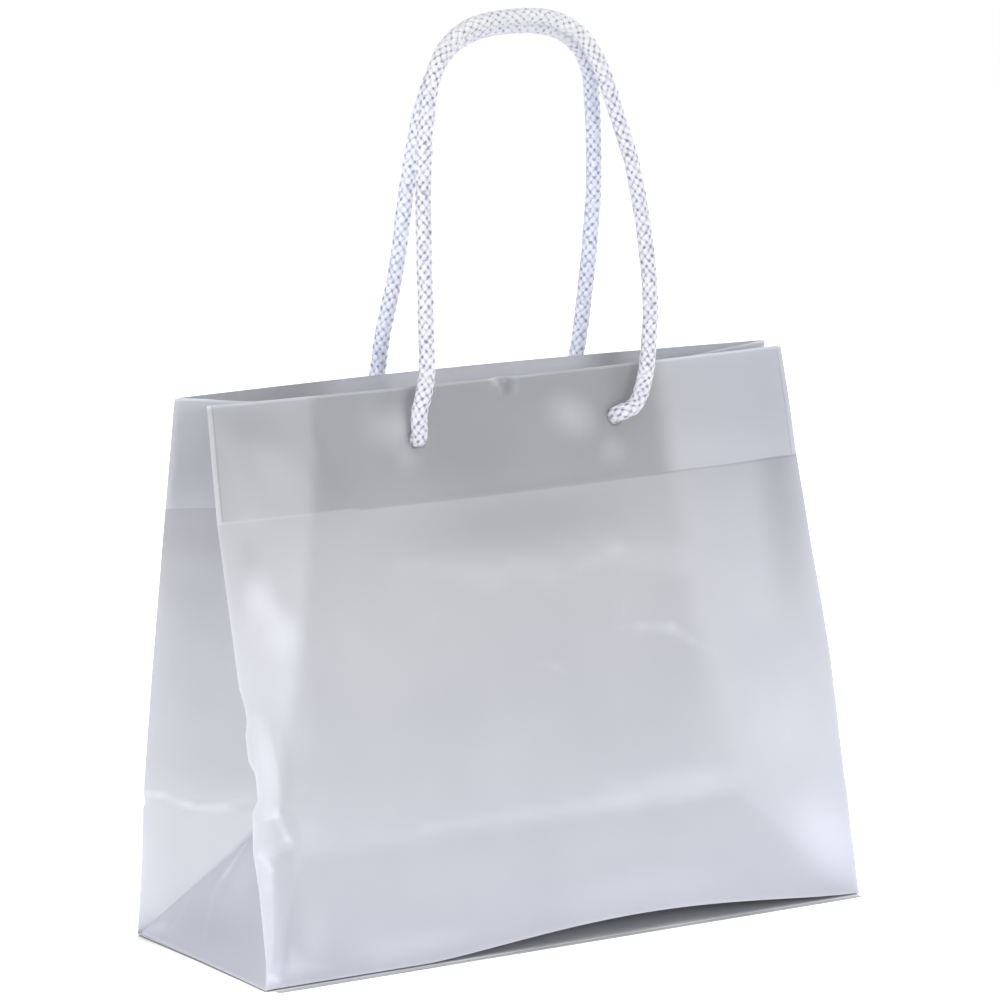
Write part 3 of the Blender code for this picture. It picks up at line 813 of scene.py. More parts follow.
    def hem_point(self, station: Station, z: float, step: float) -> Vector:
        """Point on the hem, a step inside the wall and short of the sharp edges."""
        shape = self.shape
        share = station.share
        reach = clamp(step / shape.layer_gap)
        left, right = shape.stripe_left * reach, shape.stripe_right * reach
        if station.part is Part.PANEL:
            share = clamp(share, left / shape.width, 1.0 - right / shape.width)
        elif station.part is not Part.FOLD:
            stripe = left if station.side is Side.LEFT else right
            share = max(share, stripe / shape.gusset_half)
        moved = Station(station.part, station.side, station.face, share)
        return self.wall_point(moved, z) + self.inward(moved, z) * step

    def lay_walls(self) -> bpy.types.Object:
        """Lay the walls and the hem as one sheet that turns over at the rim."""
        stations = self.stations()
        shape = self.shape
        hem_low = shape.rim - shape.hem
        wall = self.heights()
        gap = shape.layer_gap
        rows: list[tuple[float, float]] = [(z, 0.0) for z in wall]
        rows.append((shape.rim - 0.04 * MM, gap * 0.2))
        rows.append((shape.rim, gap * 0.5))
        rows.append((shape.rim - 0.04 * MM, gap * 0.8))
        for i in range(self.hem_rows + 1):
            rows.append((blend(shape.rim - gap / 2, hem_low, i / self.hem_rows), gap))

        def place(column: int, row: int) -> Vector:
            z, step = rows[row]
            station = stations[column]
            return self.wall_point(station, z) if step == 0.0 else self.hem_point(station, z, step)

        def mark(column: int, row: int) -> dict[str, float]:
            if row == 0:
                return self.light_and_shade.shared_rim
            return self.light_and_shade.values(stations[column], place(column, row).x, rows[row][0])

        return grid_sheet("film_walls", len(stations) - 1, len(rows) - 1, place, mark)

    def lay_bottom(self) -> bpy.types.Object:
        """Lay the inner bottom between the four base edges."""
        shares = self.panel_shares()
        columns, rows = len(shares) - 1, self.triangle_columns

        def mark(column: int, row: int) -> dict[str, float]:
            border = column in (0, columns) or row in (0, rows)
            return self.light_and_shade.shared_rim if border else self.light_and_shade.inner_bottom

        return grid_sheet(
            "film_bottom",
            columns,
            rows,
            lambda column, row: self.shape.bottom(shares[column], 1.0 - row / rows),
            mark,
        )

    def build(self) -> bpy.types.Object:
        """Make the film, with thickness and without the cord holes.

        Returns:
            The film as one closed shell.
        """
        walls, bottom = self.lay_walls(), self.lay_bottom()
        film = weld([walls, bottom], "folded_film", 0.01 * MM)
        self.thicken(film)
        return film

    def thicken(self, sheet: bpy.types.Object) -> None:
        """Give a sheet its thickness and smooth shading up to its folds."""
        thick = sheet.modifiers.new("film", "SOLIDIFY")
        thick.thickness = self.film
        thick.offset = -1.0
        apply_modifiers(sheet)
        select_only([sheet])
        bpy.ops.object.shade_smooth_by_angle(angle=math.radians(self.fold_angle))

    def punch(self, film: bpy.types.Object, places: Sequence[Vector]) -> None:
        """Punch round holes through the hem, and paint shade into the lower side of each cut.

        Args:
            film: The film to cut.
            places: Middle of each hole on the outside of its panel.
        """
        cutters = []
        for place in places:
            deselect()
            bpy.ops.mesh.primitive_cylinder_add(
                vertices=32,
                radius=self.hole_radius,
                depth=6 * MM,
                location=place,
                rotation=(math.pi / 2, 0.0, 0.0),
            )
            cutters.append(bpy.context.object)
        select_only(cutters)
        bpy.ops.object.join()
        cutter = bpy.context.object
        cut = film.modifiers.new("holes", "BOOLEAN")
        cut.operation = "DIFFERENCE"
        cut.solver = "FAST"
        cut.object = cutter
        apply_modifiers(film)
        bpy.data.objects.remove(cutter, do_unlink=True)
        # the new cut faces get a set painted lightness, with painted shade growing towards the bottom of each hole
        for vertex, value in zip(film.data.vertices, film.data.attributes["light_and_shade"].data):
            if value.value < self.cut_light_and_shade / 2:
                below = min((place - vertex.co).length for place in places)
                drop = max((place.z - vertex.co.z) / below for place in places if (place - vertex.co).length == below)
                value.value = self.cut_light_and_shade * (1.0 - self.hole_shade * clamp(drop))

    def build_flap(self) -> bpy.types.Object:
        """Make the outer bottom flap, a flat sheet with a faint ripple along its cut edge. Its front strip is painted
        dark as a shadow band, then comes a painted light line, and the rest is painted in shade under the arch.
        """
        half = self.shape.width / 2 - self.flap_side_inset
        front = -self.shape.depth / 2 - self.flap_overhang
        back = self.shape.depth / 2 - self.flap_back_inset
        columns, rows, strip_shading = self.flap_columns, self.flap_rows, self.flap_strip_shading
        depths = [front] + [front + strip for strip in self.flap_strips]
        rest = rows - len(self.flap_strips)
        depths += [blend(depths[-1], back, i / rest) for i in range(1, rest + 1)]

        def place(column: int, row: int) -> Vector:
            x = blend(-half, half, column / columns)
            y = depths[row]
            near = max(0.0, 1.0 - row / 4)
            ripple = 0.12 * MM * (1 + math.sin(x / 9 / MM) * math.sin(x / 31 / MM)) * near
            return Vector((x, y, self.film + ripple))

        flap = grid_sheet(
            "bottom_flap",
            columns,
            rows,
            place,
            lambda column, row: {
                "light_and_shade": strip_shading[row] if row < len(strip_shading) else self.flap_shade,
                "cool": 0.3,
                "dense": 1.0,
            },
        )
        self.thicken(flap)
        return flap


@dataclass(frozen=True)
class Braid:
    """How the strands of a round cord cross."""

    carriers: int = 6
    pitch: float = 21.0 * MM
    relief: float = 0.60 * MM
    wander: float = 0.9 * MM
    wander_length: float = 3.5 * MM
    uneven: float = 0.45
    base_light: float = 0.42
    crest_light: float = 0.75
    gap_shade: float = 0.45

    def height(self, turn: float, along: float) -> tuple[float, float, float]:
        """Surface of the braid at a place round and along the cord.

        Args:
            turn: Place round the cord, from 0 to 1.
            along: Distance along the cord.

        Returns:
            Rise above the core and lightness, both from 0 to 1, and the place across the strand.
        """
        angle = 2 * math.pi * turn
        around = Vector((math.cos(angle), math.sin(angle), along / self.wander_length))
        shift = self.wander * noise.noise(around)
        right = self.carriers * (turn + (along + shift) / self.pitch)
        left = self.carriers * (turn - (along - 0.7 * shift) / self.pitch)
        right_cell, left_cell = math.floor(right), math.floor(left)
        cell = Vector((right_cell - left_cell + 0.5, (right_cell + left_cell) % (2 * self.carriers) + 0.5, 0.5))
        fullness = 1.0 - self.uneven * clamp(noise.cell(cell))
        u, v = right - right_cell - 0.5, left - left_cell - 0.5
        right_on_top = (right_cell + left_cell) % 2 == 0
        crest_u, crest_v = math.cos(math.pi * u), math.cos(math.pi * v)
        over = 1.0 if right_on_top else -1.0
        rise_right = (math.sqrt(max(0.0, 1 - (2 * u) ** 2)) + over * crest_v) / 2
        rise_left = (math.sqrt(max(0.0, 1 - (2 * v) ** 2)) - over * crest_u) / 2
        gap = 1.0 - max(abs(crest_u), abs(crest_v))
        # painted light on the crests, painted shade in the gaps
        light = self.base_light + self.crest_light * (crest_u * crest_v) ** 0.8 * fullness - self.gap_shade * gap
        if rise_right >= rise_left:
            return clamp(rise_right) * fullness, clamp(light), u
        return clamp(rise_left) * fullness, clamp(light), v


def smooth_route(points: Sequence[Vector], spacing: float) -> list[Vector]:
    """Evenly spaced points on a smooth curve through a cord's own points.

    Args:
        points: Points that the cord passes through.
        spacing: Distance between the new points.

    Returns:
        The points along the curve.
    """
    fine: list[Vector] = []
    padded = [points[0] * 2 - points[1], *points, points[-1] * 2 - points[-2]]
    for before, start, end, after in zip(padded, padded[1:], padded[2:], padded[3:]):
        for i in range(24):
            t = i / 24
            fine.append(
                0.5
                * (
                    2 * start
                    + (end - before) * t
                    + (2 * before - 5 * start + 4 * end - after) * t**2
                    + (3 * start - before - 3 * end + after) * t**3
                )
            )
    fine.append(points[-1])
    lengths = [0.0]
    for start, end in zip(fine, fine[1:]):
        lengths.append(lengths[-1] + (end - start).length)
    count = max(2, round(lengths[-1] / spacing))
    result, place = [], 0
    for i in range(count + 1):
        target = lengths[-1] * i / count
        while place < len(fine) - 2 and lengths[place + 1] < target:
            place += 1
        part = (target - lengths[place]) / (lengths[place + 1] - lengths[place])
        result.append(mix(fine[place], fine[place + 1], part))
    return result


def route_length(points: Sequence[Vector]) -> float:
    """Length of a line of points."""
    return sum((end - start).length for start, end in zip(points, points[1:]))


def braided_tube(name: str, line: Sequence[Vector], radius: float, sides: int, braid: Braid) -> bpy.types.Object:
    """Lay a grid round a line as a closed tube with the relief of a braid.

    Args:
        name: The new object's name.
        line: Points along the middle of the cord.
        radius: Outer radius over the strands.
        sides: Columns round the cord.
        braid: How the strands cross.

    Returns:
        The tube, with attributes for the painted light and shade on its crowns and for the plies of each strand.
    """
    frames = []
    normal = Vector((0.0, 1.0, 0.0))
    along = 0.0
    for i, point in enumerate(line):
        ahead = line[min(i + 1, len(line) - 1)] - line[max(i - 1, 0)]
        tangent = ahead.normalized()
        normal = (normal - tangent * normal.dot(tangent)).normalized()
        frames.append((point, normal.copy(), tangent.cross(normal), along))
        if i + 1 < len(line):
            along += (line[i + 1] - point).length

    def place(column: int, row: int) -> Vector:
        point, side, up, distance = frames[row]
        turn = (column % sides) / sides
        reach = radius + braid.relief * (braid.height(turn, distance)[0] - 0.55)
        if row in (0, len(frames) - 1):
            reach *= 0.4
        angle = 2 * math.pi * turn
        return point + (side * math.cos(angle) + up * math.sin(angle)) * reach

    def mark(column: int, row: int) -> dict[str, float]:
        _, light, across = braid.height((column % sides) / sides, frames[row][3])
        return {"painted_crown_light": light, "ply": across}

    tube = grid_sheet(name, sides, len(line) - 1, place, mark)
    piece = weld([tube], name, 0.002 * MM)
    bpy.ops.object.mode_set(mode="EDIT")
    bpy.ops.mesh.select_mode(type="EDGE")
    bpy.ops.mesh.select_non_manifold()
    bpy.ops.mesh.edge_face_add()
    bpy.ops.mesh.select_all(action="SELECT")
    bpy.ops.mesh.normals_make_consistent(inside=False)
    bpy.ops.mesh.select_all(action="DESELECT")
    bpy.ops.object.mode_set(mode="OBJECT")
    piece.data.shade_smooth()
    return piece


@dataclass
class Handle:
    """One cord handle: its route over the top, and the knot at each end."""

    face: Face
    label: str
    left_hole_x: float
    right_hole_x: float
    route: Sequence[Point]
    diameter: float = 5.6 * MM
    hole_drop: float = 18.5 * MM
    cad_film: float = 0.3 * MM
    knot_seat: float = 0.3 * MM
    knot_shift: float = 4.0 * MM
    knot_radius: float = 2.2 * MM
    spacing: float = 0.35 * MM
    sides: int = 72
    braid: Braid = Braid()

    def hole(self, shape: FilmShape, x: float) -> Vector:
        """Middle of a hole on the outside of the panel, found by its place along the width."""
        z = shape.rim - self.hole_drop
        low, high = 0.0, 1.0
        for _ in range(40):
            middle = (low + high) / 2
            if shape.panel(self.face, middle, z).x < x:
                low = middle
            else:
                high = middle
        return shape.panel(self.face, (low + high) / 2, z)

    def holes(self, shape: FilmShape) -> list[Vector]:
        """Middles of both holes."""
        return [self.hole(shape, self.left_hole_x), self.hole(shape, self.right_hole_x)]

    def through(self, hole: Vector) -> list[Vector]:
        """Points from just inside the bag through a hole to just outside it."""
        radius = self.diameter / 2
        inside = hole.copy()
        inside.y -= self.face.value * (2 * self.cad_film + self.knot_seat + radius / 2)
        outside = hole.copy()
        outside.y += self.face.value * radius
        outside.z += radius / 2
        return [inside, hole, outside]

    def line(self, shape: FilmShape) -> list[Vector]:
        """The cord's middle line, from one hole to the other."""
        left, right = self.holes(shape)
        points = self.through(left) + [Vector(p) for p in self.route] + self.through(right)[::-1]
        return smooth_route(points, self.spacing)

    def build(self, shape: FilmShape) -> bpy.types.Object:
        line = self.line(shape)
        cord = braided_tube(self.label + "_cord", line, self.diameter / 2, self.sides, self.braid)
        log.info("%s is %.0f mm long", cord.name, route_length(line) / MM)
        return cord

    def knot_line(self, hole: Vector, mirrored: bool) -> list[Vector]:
        """Middle line of an overhand knot whose cord comes in through a hole."""
        inward = -self.face.value
        start = hole.copy()
        start.y += inward * (2 * self.cad_film + self.knot_seat + self.diameter / 4)
        centre = start.copy()
        centre.x += self.face.value * self.knot_shift
        centre.y += inward * 4.6 * MM
        flip = -1.0 if mirrored else 1.0
        points = [start, start + Vector((0.0, inward * 1.2 * MM, 0.0))]
        turns = 34
        first, last = 0.16, 0.90
        for i in range(turns + 1):
            t = 2 * math.pi * blend(first, last, i / turns)
            ring = 4.3 * MM + 2.0 * MM * math.cos(3 * t)
            x = ring * math.cos(2 * t) * flip
            z = ring * math.sin(2 * t)
            y = 2.1 * MM * math.sin(3 * t)
            points.append(centre + Vector((x, y * inward, z)))
        tail = (points[-1] - points[-2]).normalized()
        points.append(points[-1] + tail * 2.5 * MM)
        points.append(points[-1] + tail * 3.5 * MM + Vector((0.0, 0.0, -1.5 * MM)))
        return smooth_route(points, self.spacing)

    def build_knot(self, shape: FilmShape, side: Side) -> bpy.types.Object:
        """Make the overhand knot inside the bag at one end of the cord."""
        hole = self.holes(shape)[0 if side is Side.LEFT else 1]
        name = f"{self.label}_{side.name.lower()}_overhand_knot"
        line = self.knot_line(hole, mirrored=side is Side.RIGHT)
        return braided_tube(name, line, self.knot_radius, 40, self.braid)


@dataclass
class NodeNet:
    """A node tree that nodes are added to, set and wired in one call each."""

    tree: bpy.types.NodeTree

    def add(
        self,
        kind: str,
        values: dict[str | int, object] | None = None,
        wires: dict[str | int, bpy.types.NodeSocket] | None = None,
        **settings: object,
    ) -> bpy.types.Node:
        """Add one shader node.

        Args:
            kind: The node's type without its usual prefix.
            values: Constants by input.
            wires: Sockets of other nodes by input.
            settings: The node's own properties.

        Returns:
            The new node.
        """
        node = self.tree.nodes.new("ShaderNode" + kind)
        for key, setting in settings.items():
            setattr(node, key, setting)
        for key, value in (values or {}).items():
            node.inputs[key].default_value = value
        for key, socket in (wires or {}).items():
            self.tree.links.new(socket, node.inputs[key])
        return node

    def attribute(self, name: str) -> bpy.types.NodeSocket:
        """Value of a mesh attribute."""
        return self.add("Attribute", attribute_name=name).outputs["Fac"]

    def maths(
        self, operation: str, *terms: bpy.types.NodeSocket | float
    ) -> bpy.types.NodeSocket:
        """Result of a sum on sockets and numbers."""
        node = self.add("Math", operation=operation)
        for index, term in enumerate(terms):
            if isinstance(term, float):
                node.inputs[index].default_value = term
            else:
                self.tree.links.new(term, node.inputs[index])
        return node.outputs["Value"]

    def spread(
        self, source: bpy.types.NodeSocket, start: tuple[float, float], end: tuple[float, float]
    ) -> bpy.types.NodeSocket:
        """Value carried from one range to another."""
        limits = {"From Min": start[0], "From Max": start[1], "To Min": end[0], "To Max": end[1]}
        return self.add("MapRange", limits, {"Value": source}).outputs["Result"]

    def ramp(
        self, source: bpy.types.NodeSocket, stops: Sequence[tuple[float, Colour]], interpolation: str = "LINEAR"
    ) -> bpy.types.NodeSocket:
        """Colour read from a ramp, whose stops are given as first, last and then any between."""
        node = self.add("ValToRGB", wires={"Fac": source})
        node.color_ramp.interpolation = interpolation
        for index, (place, colour) in enumerate(stops):
            if index > 1:
                stop = node.color_ramp.elements.new(place)
            else:
                stop = node.color_ramp.elements[index]
                stop.position = place
            stop.color = colour
        return node.outputs["Color"]

    def tinted(
        self,
        share: bpy.types.NodeSocket | float,
        base: bpy.types.NodeSocket,
        other: bpy.types.NodeSocket | Colour,
        blend_type: str = "MULTIPLY",
    ) -> bpy.types.NodeSocket:
        """Colour with another one laid over it."""
        node = self.add("Mix", wires={"A": base}, data_type="RGBA", blend_type=blend_type)
        for key, item in (("Factor", share), ("B", other)):
            if isinstance(item, bpy.types.NodeSocket):
                self.tree.links.new(item, node.inputs[key])
            else:
                node.inputs[key].default_value = item
        return node.outputs["Result"]

    def mixed(
        self, share: bpy.types.NodeSocket, first: bpy.types.NodeSocket, second: bpy.types.NodeSocket
    ) -> bpy.types.NodeSocket:
        """Shader between two shaders."""
        return self.add("MixShader", wires={"Fac": share, 1: first, 2: second}).outputs[0]

    def grain(self, group: bpy.types.NodeTree, place: bpy.types.NodeSocket, scale: float) -> bpy.types.Node:
        """The shared group of fine grain."""
        node = self.add("Group", node_tree=group)
        node.inputs["Scale"].default_value = scale
        self.tree.links.new(place, node.inputs["Vector"])
        return node


def new_material(name: str) -> tuple[bpy.types.Material, NodeNet]:
    """Material with nothing in its node tree."""
    material = bpy.data.materials.new(name)
    material.use_nodes = True
    material.node_tree.nodes.clear()
    return material, NodeNet(material.node_tree)


@dataclass(frozen=True)
class FilmFinish:
    """Frosted film: milky, a little see-through, with a soft gloss."""

    name: str
    top: Colour
    middle: Colour
    foot: Colour
    cool: Colour = (0.965, 0.975, 1.030, 1.0)
    clear: float = 0.26
    through: float = 0.42
    roughness: float = 0.30
    rim: float = 0.2012
    grain_scale: float = 900.0

    def material(self, grain: bpy.types.NodeTree) -> bpy.types.Material:
        """Build the material.

        Args:
            grain: Node group of the fine grain in the film.

        Returns:
            The finished material.
        """
        material, net = new_material(self.name)
        place = net.add("TexCoord").outputs["Object"]
        fine = net.grain(grain, place, self.grain_scale)
        height = net.add("SeparateXYZ", wires={"Vector": place}).outputs["Z"]
        share = net.spread(height, (0.0, self.rim), (0.0, 1.0))
        # the ramp paints shade by height: darker at the top and lighter at the foot
        stops = ((0.0, self.foot), (1.0, self.top), (0.5, self.middle))
        colour = net.tinted(1.0, net.ramp(share, stops, "EASE"), fine.outputs["Shade"])
        colour = net.tinted(net.attribute("cool"), colour, self.cool)
        # scale the colour by the painted light and shade attribute
        lit_and_shaded = net.add("VectorMath", wires={0: colour, "Scale": net.attribute("light_and_shade")}, operation="SCALE")
        colour = lit_and_shaded.outputs["Vector"]
        bump = net.add("Bump", {"Strength": 0.12, "Distance": 0.2 * MM}, {"Height": fine.outputs["Height"]})
        skin = net.add(
            "BsdfPrincipled",
            {"Roughness": self.roughness, "IOR": 1.5},
            {"Base Color": colour, "Normal": bump.outputs["Normal"]},
        )
        glow = net.add("BsdfTranslucent", wires={"Color": colour})
        dense = net.attribute("dense")
        glow_share = net.spread(dense, (0.0, 1.0), (self.through, 0.0))
        clear_share = net.spread(dense, (0.0, 1.0), (self.clear, 0.0))
        body = net.mixed(glow_share, skin.outputs["BSDF"], glow.outputs["BSDF"])
        whole = net.mixed(clear_share, body, net.add("BsdfTransparent").outputs["BSDF"])
        net.add("OutputMaterial", wires={"Surface": whole})
        return material


@dataclass(frozen=True)
class CordFinish:
    """Braided cord of glossy fibre, with painted light on its crowns and painted shade in its valleys."""

    name: str
    painted_crown_light: Colour
    middle: Colour
    painted_valley_shade: Colour
    arch: Colour = (0.78, 0.78, 0.77, 1.0)
    roughness: float = 0.42
    plies: float = 3.0
    light_through: float = 0.6
    flecks: float = 0.80
    fleck_scale: float = 800.0
    grain_scale: float = 2200.0
    lit_arch_heights: tuple[float, float] = (0.306, 0.322)

    def material(self, grain: bpy.types.NodeTree) -> bpy.types.Material:
        """Build the material.

        Args:
            grain: Node group of the fine grain in the fibre.

        Returns:
            The finished material.
        """
        material, net = new_material(self.name)
        place = net.add("TexCoord").outputs["Object"]
        fine = net.grain(grain, place, self.grain_scale)
        painted_crown_light = net.attribute("painted_crown_light")
        fleck = net.add("TexNoise", {"Scale": self.fleck_scale, "Detail": 1.0}, {"Vector": place})
        uneven = net.maths("MULTIPLY_ADD", fleck.outputs["Fac"], 2 * self.flecks, -self.flecks)
        # the ramp paints shade in the valleys and light on the crowns
        stops = ((0.06, self.painted_valley_shade), (0.88, self.painted_crown_light), (0.42, self.middle))
        colour = net.ramp(net.maths("ADD", painted_crown_light, uneven), stops)
        height = net.add("SeparateXYZ", wires={"Vector": place}).outputs["Z"]
        # painted light by height: the crowns over the top of the arch turn a neutral tint, where the cord faces the
        # lamps above, in place of the bluish shade lower down
        arch_light_share = net.maths("MULTIPLY", net.spread(height, self.lit_arch_heights, (0.0, 0.75)), painted_crown_light)
        colour = net.tinted(arch_light_share, colour, self.arch, "MIX")
        colour = net.tinted(0.8, colour, fine.outputs["Shade"])
        wave = net.maths("MULTIPLY", net.attribute("ply"), 2 * math.pi * self.plies)
        groove = net.maths("ADD", net.maths("COSINE", wave), fine.outputs["Height"])
        bump = net.add("Bump", {"Strength": 0.5, "Distance": 0.15 * MM}, {"Height": groove})
        skin = net.add(
            "BsdfPrincipled",
            {"Roughness": self.roughness, "Sheen Weight": 0.25, "Sheen Roughness": 0.4},
            {"Base Color": colour, "Normal": bump.outputs["Normal"]},
        )
        loose = net.maths("MULTIPLY", net.add("LightPath").outputs["Is Shadow Ray"], self.light_through)
        clear = net.add("BsdfTransparent")
        whole = net.mixed(loose, skin.outputs["BSDF"], clear.outputs["BSDF"])
        net.add("OutputMaterial", wires={"Surface": whole})
        return material


def grain_group() -> bpy.types.NodeTree:
    """Node group of fine grain that the film and the cords share.

    Returns:
        A group with a shade near white and a height for bump.
    """
    group = bpy.data.node_groups.new("fine_grain", "ShaderNodeTree")
    group.interface.new_socket("Vector", in_out="INPUT", socket_type="NodeSocketVector")
    group.interface.new_socket("Scale", in_out="INPUT", socket_type="NodeSocketFloat")
    group.interface.new_socket("Shade", in_out="OUTPUT", socket_type="NodeSocketColor")
    group.interface.new_socket("Height", in_out="OUTPUT", socket_type="NodeSocketFloat")
    inside = group.nodes.new("NodeGroupInput").outputs
    outside = group.nodes.new("NodeGroupOutput").inputs
    net = NodeNet(group)
    fine = net.add("TexNoise", {"Detail": 3.0}, {"Vector": inside["Vector"], "Scale": inside["Scale"]})
    broad = net.add("TexNoise", {"Scale": 26.0, "Detail": 2.0}, {"Vector": inside["Vector"]})
    shade = net.ramp(broad.outputs["Fac"], ((0.30, (0.955, 0.952, 0.962, 1.0)), (0.70, (1.0, 1.0, 1.0, 1.0))))
    group.links.new(shade, outside["Shade"])
    group.links.new(fine.outputs["Fac"], outside["Height"])
    return group


@dataclass
class Studio:
    """White ground, soft lights and the camera of the picture."""

    camera_place: Point = (-0.8838, -1.3923, 0.4285)
    yaw: float = 0.5642
    pitch: float = 0.16474
    focal: float = 4602.0
    picture: float = 1000.0
    sensor: float = 36.0
    shadow_reach: float = 18.0 * MM
    shadow_range: tuple[float, float] = (0.40, 0.99)
    aim: Point = (0.0, 0.0, 0.10)
    lamps = (
        ("left_soft", (-1.8, -0.2, 0.6), 0.9, 20.0),
        ("right_soft", (1.8, 0.1, 0.7), 1.5, 21.0),
        ("front_soft", (0.2, -1.8, 0.5), 0.9, 13.0),
        ("top_soft", (0.0, -0.3, 1.9), 1.2, 9.0),
    )

    def add_camera(self) -> None:
        """Add the camera that the scene is seen by."""
        data = bpy.data.cameras.new("picture_camera")
        data.sensor_width = self.sensor
        data.lens = self.focal * self.sensor / self.picture
        data.clip_end = 20.0
        camera = bpy.data.objects.new("picture_camera", data)
        camera.location = self.camera_place
        camera.rotation_euler = (math.pi / 2 - self.pitch, 0.0, -self.yaw)
        bpy.context.scene.collection.objects.link(camera)
        bpy.context.scene.camera = camera

    def add_floor(self) -> None:
        """Add a white floor that keeps the bag's contact shadow, partly real from the lamps and partly painted, as
        occlusion darkens its colour and its glow near the bag.
        """
        deselect()
        bpy.ops.mesh.primitive_plane_add(size=6.0, location=(0.0, 0.0, 0.0))
        floor = bpy.context.object
        floor.name = "studio_floor"
        material, net = new_material("studio_floor")
        path = net.add("LightPath").outputs
        seen = net.maths("MAXIMUM", path["Is Camera Ray"], path["Is Glossy Ray"])
        seen = net.maths("MAXIMUM", seen, path["Is Transmission Ray"])
        # painted contact shadow: occlusion near the bag darkens the floor's glow and colour
        near = net.add("AmbientOcclusion", {"Distance": self.shadow_reach}, samples=4).outputs["AO"]
        glow = net.spread(near, self.shadow_range, (0.10, 0.80))
        shade = net.spread(near, self.shadow_range, (0.25, 0.90))
        skin = net.add(
            "BsdfPrincipled",
            {"Roughness": 0.9, "Emission Color": (1.0, 1.0, 1.0, 1.0)},
            {"Base Color": shade, "Emission Strength": net.maths("MULTIPLY", seen, glow)},
        )
        net.add("OutputMaterial", wires={"Surface": skin.outputs["BSDF"]})
        floor.data.materials.append(material)

    def add_world(self) -> None:
        """White where the camera sees it, and a plain grey light elsewhere."""
        world = bpy.data.worlds.new("studio_world")
        world.use_nodes = True
        world.node_tree.nodes.clear()
        net = NodeNet(world.node_tree)
        light = net.add("Background", {"Color": (0.98, 0.985, 1.0, 1.0), "Strength": 0.38})
        white = net.add("Background", {"Color": (1.0, 1.0, 1.0, 1.0), "Strength": 1.0})
        seen = net.add("LightPath").outputs["Is Camera Ray"]
        sky = net.mixed(seen, light.outputs["Background"], white.outputs["Background"])
        net.add("OutputWorld", wires={"Surface": sky})
        bpy.context.scene.world = world

    def add_lamp(self, name: str, place: Point, size: float, watts: float) -> None:
        """Add one soft lamp that faces the bag.

        Args:
            name: The lamp's name.
            place: Where it hangs.
            size: Side of its square face.
            watts: Its power.
        """
        data = bpy.data.lights.new(name, "AREA")
        data.shape = "SQUARE"
        data.size = size
        data.energy = watts
        lamp = bpy.data.objects.new(name, data)
        lamp.location = place
        lamp.rotation_euler = (Vector(self.aim) - Vector(place)).to_track_quat("-Z", "Y").to_euler()
        bpy.context.scene.collection.objects.link(lamp)

    def build(self) -> None:
        """Set up the stage, the lamps and the camera."""
        self.add_floor()
        self.add_world()
        for lamp in self.lamps:
            self.add_lamp(*lamp)
        self.add_camera()
        scene = bpy.context.scene
        scene.view_settings.view_transform = "Standard"
        scene.cycles.transparent_max_bounces = 20
        scene.cycles.max_bounces = 6
        scene.cycles.diffuse_bounces = 3
        scene.cycles.glossy_bounces = 2


FRONT_ROUTE: tuple[Point, ...] = (
    (-0.0493, -0.0205, 0.1925),
    (-0.0452, -0.0186, 0.2052),
    (-0.0436, -0.0156, 0.2250),
    (-0.0426, -0.0130, 0.2470),
    (-0.0410, -0.0100, 0.2720),
    (-0.0376, -0.0070, 0.2976),
    (-0.0332, -0.0053, 0.3114),
    (-0.0258, -0.0041, 0.3217),
    (-0.0137, -0.0035, 0.3276),
    (0.0050, -0.0033, 0.3294),
    (0.0181, -0.0034, 0.3280),
    (0.0300, -0.0037, 0.3215),
    (0.0375, -0.0046, 0.3101),
    (0.0435, -0.0056, 0.2937),
    (0.0496, -0.0064, 0.2760),
    (0.0531, -0.0072, 0.2595),
    (0.0558, -0.0080, 0.2407),
    (0.0566, -0.0090, 0.2242),
    (0.0550, -0.0105, 0.2095),
    (0.0520, -0.0125, 0.1975),
    (0.0465, -0.0150, 0.1880),
)
BACK_ROUTE: tuple[Point, ...] = (
    (-0.0428, 0.0215, 0.1915),
    (-0.0425, 0.0192, 0.2040),
    (-0.0420, 0.0164, 0.2173),
    (-0.0379, 0.0140, 0.2396),
    (-0.0353, 0.0106, 0.2692),
    (-0.0313, 0.0074, 0.2960),
    (-0.0239, 0.0051, 0.3151),
    (-0.0120, 0.0036, 0.3235),
    (0.0050, 0.0033, 0.3258),
    (0.0200, 0.0036, 0.3245),
    (0.0310, 0.0042, 0.3195),
    (0.0385, 0.0055, 0.3100),
    (0.0419, 0.0078, 0.2972),
    (0.0450, 0.0112, 0.2720),
    (0.0459, 0.0135, 0.2559),
    (0.0458, 0.0167, 0.2334),
    (0.0452, 0.0205, 0.2100),
    (0.0440, 0.0240, 0.1925),
)


def dress(piece: bpy.types.Object, material: bpy.types.Material) -> None:
    """Give a piece its finish and let it ride with the bag.

    Args:
        piece: The piece.
        material: Its material.
    """
    piece.data.materials.clear()
    piece.data.materials.append(material)
    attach(piece, "root")


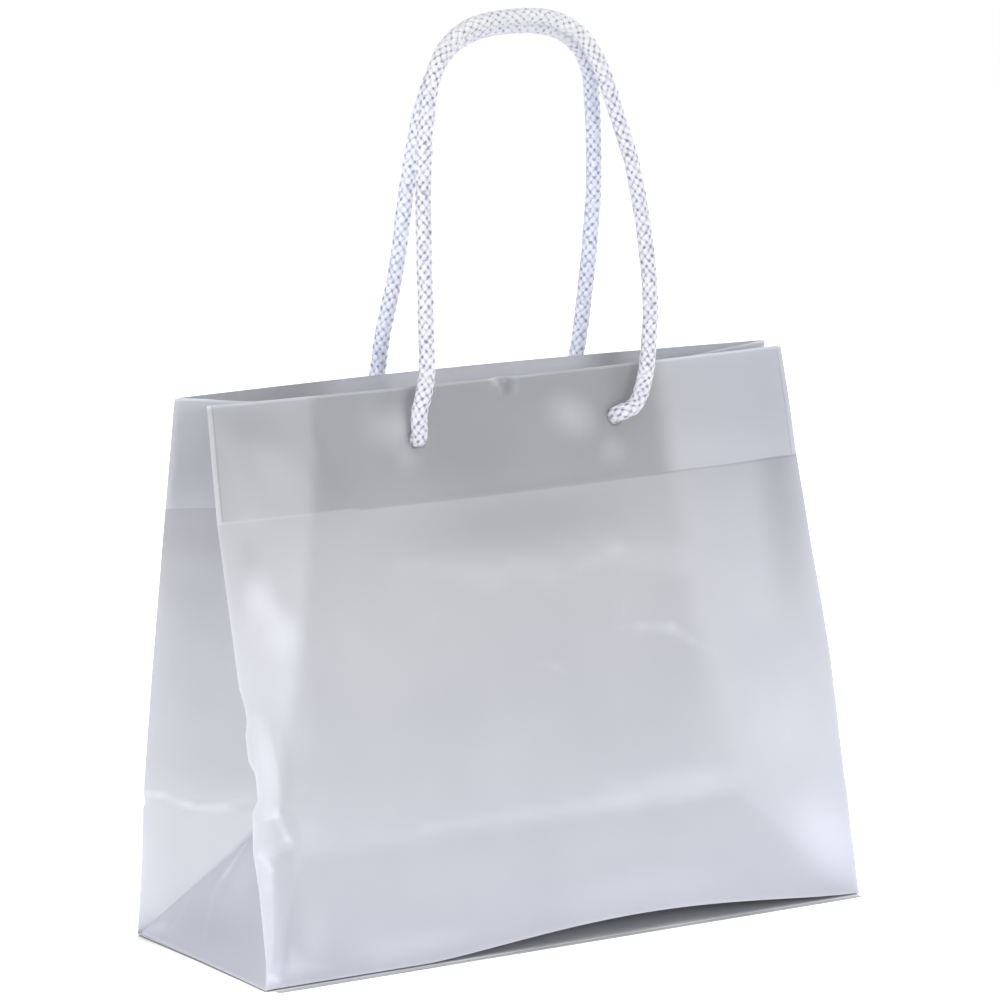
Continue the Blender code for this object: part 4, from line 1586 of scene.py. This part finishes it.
def build_handle(handle: Handle, shape: FilmShape, material: bpy.types.Material) -> None:
    """Make one handle with its two knots.

    Args:
        handle: The handle's sizes and route.
        shape: The film that it passes through.
        material: The cord's finish.
    """
    cord = handle.build(shape)
    dress(cord, material)
    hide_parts(handle.label + "_handle")
    for side in Side:
        knot = handle.build_knot(shape, side)
        dress(knot, material)
        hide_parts(f"{handle.label}_{side.name.lower()}_knot")
        log.info("%s made", knot.name)
    line = handle.line(shape)
    tuple(line[0])
    route_length(line)
    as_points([tuple(point) for point in line[::8]] + [tuple(line[-1])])


def main() -> None:
    """Build the bag piece by piece."""
    logging.basicConfig(level=logging.INFO, format="%(message)s")
    studio = Studio()
    studio.build()
    shape = FilmShape()
    grain = grain_group()
    front = Handle(Face.FRONT, "front", -0.0480, 0.0400, FRONT_ROUTE)
    back = Handle(Face.BACK, "back", -0.0435, 0.0435, BACK_ROUTE)
    front_finish = CordFinish(
        "front_cord", (0.80, 0.80, 0.85, 1.0), (0.61, 0.61, 0.71, 1.0), (0.24, 0.24, 0.32, 1.0)
    )
    # the back cord's finish is a bluer copy of the front's, painted shade for the cord that hangs behind
    back_shaded_finish = CordFinish(
        "back_cord", (0.82, 0.84, 0.93, 1.0), (0.62, 0.65, 0.81, 1.0), (0.28, 0.30, 0.45, 1.0)
    )
    build_handle(front, shape, front_finish.material(grain))
    build_handle(back, shape, back_shaded_finish.material(grain))

    # the top, middle and foot colours paint shade by height, darker at the top
    film_finish = FilmFinish(
        "frosted_film",
        top=(0.63, 0.635, 0.655, 1.0),
        middle=(0.765, 0.770, 0.785, 1.0),
        foot=(0.90, 0.905, 0.920, 1.0),
    )
    film = FoldedFilm(shape, PaintedFilmShading(shape))
    body = film.build()
    film.punch(body, front.holes(shape) + back.holes(shape))
    film_material = film_finish.material(grain)
    dress(body, film_material)
    flap = film.build_flap()
    dress(flap, film_material)
    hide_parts("bag_body")
    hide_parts("bag_body")
    log.info("%s has %d faces", body.name, len(body.data.polygons))


if __name__ == "__main__":
    main()
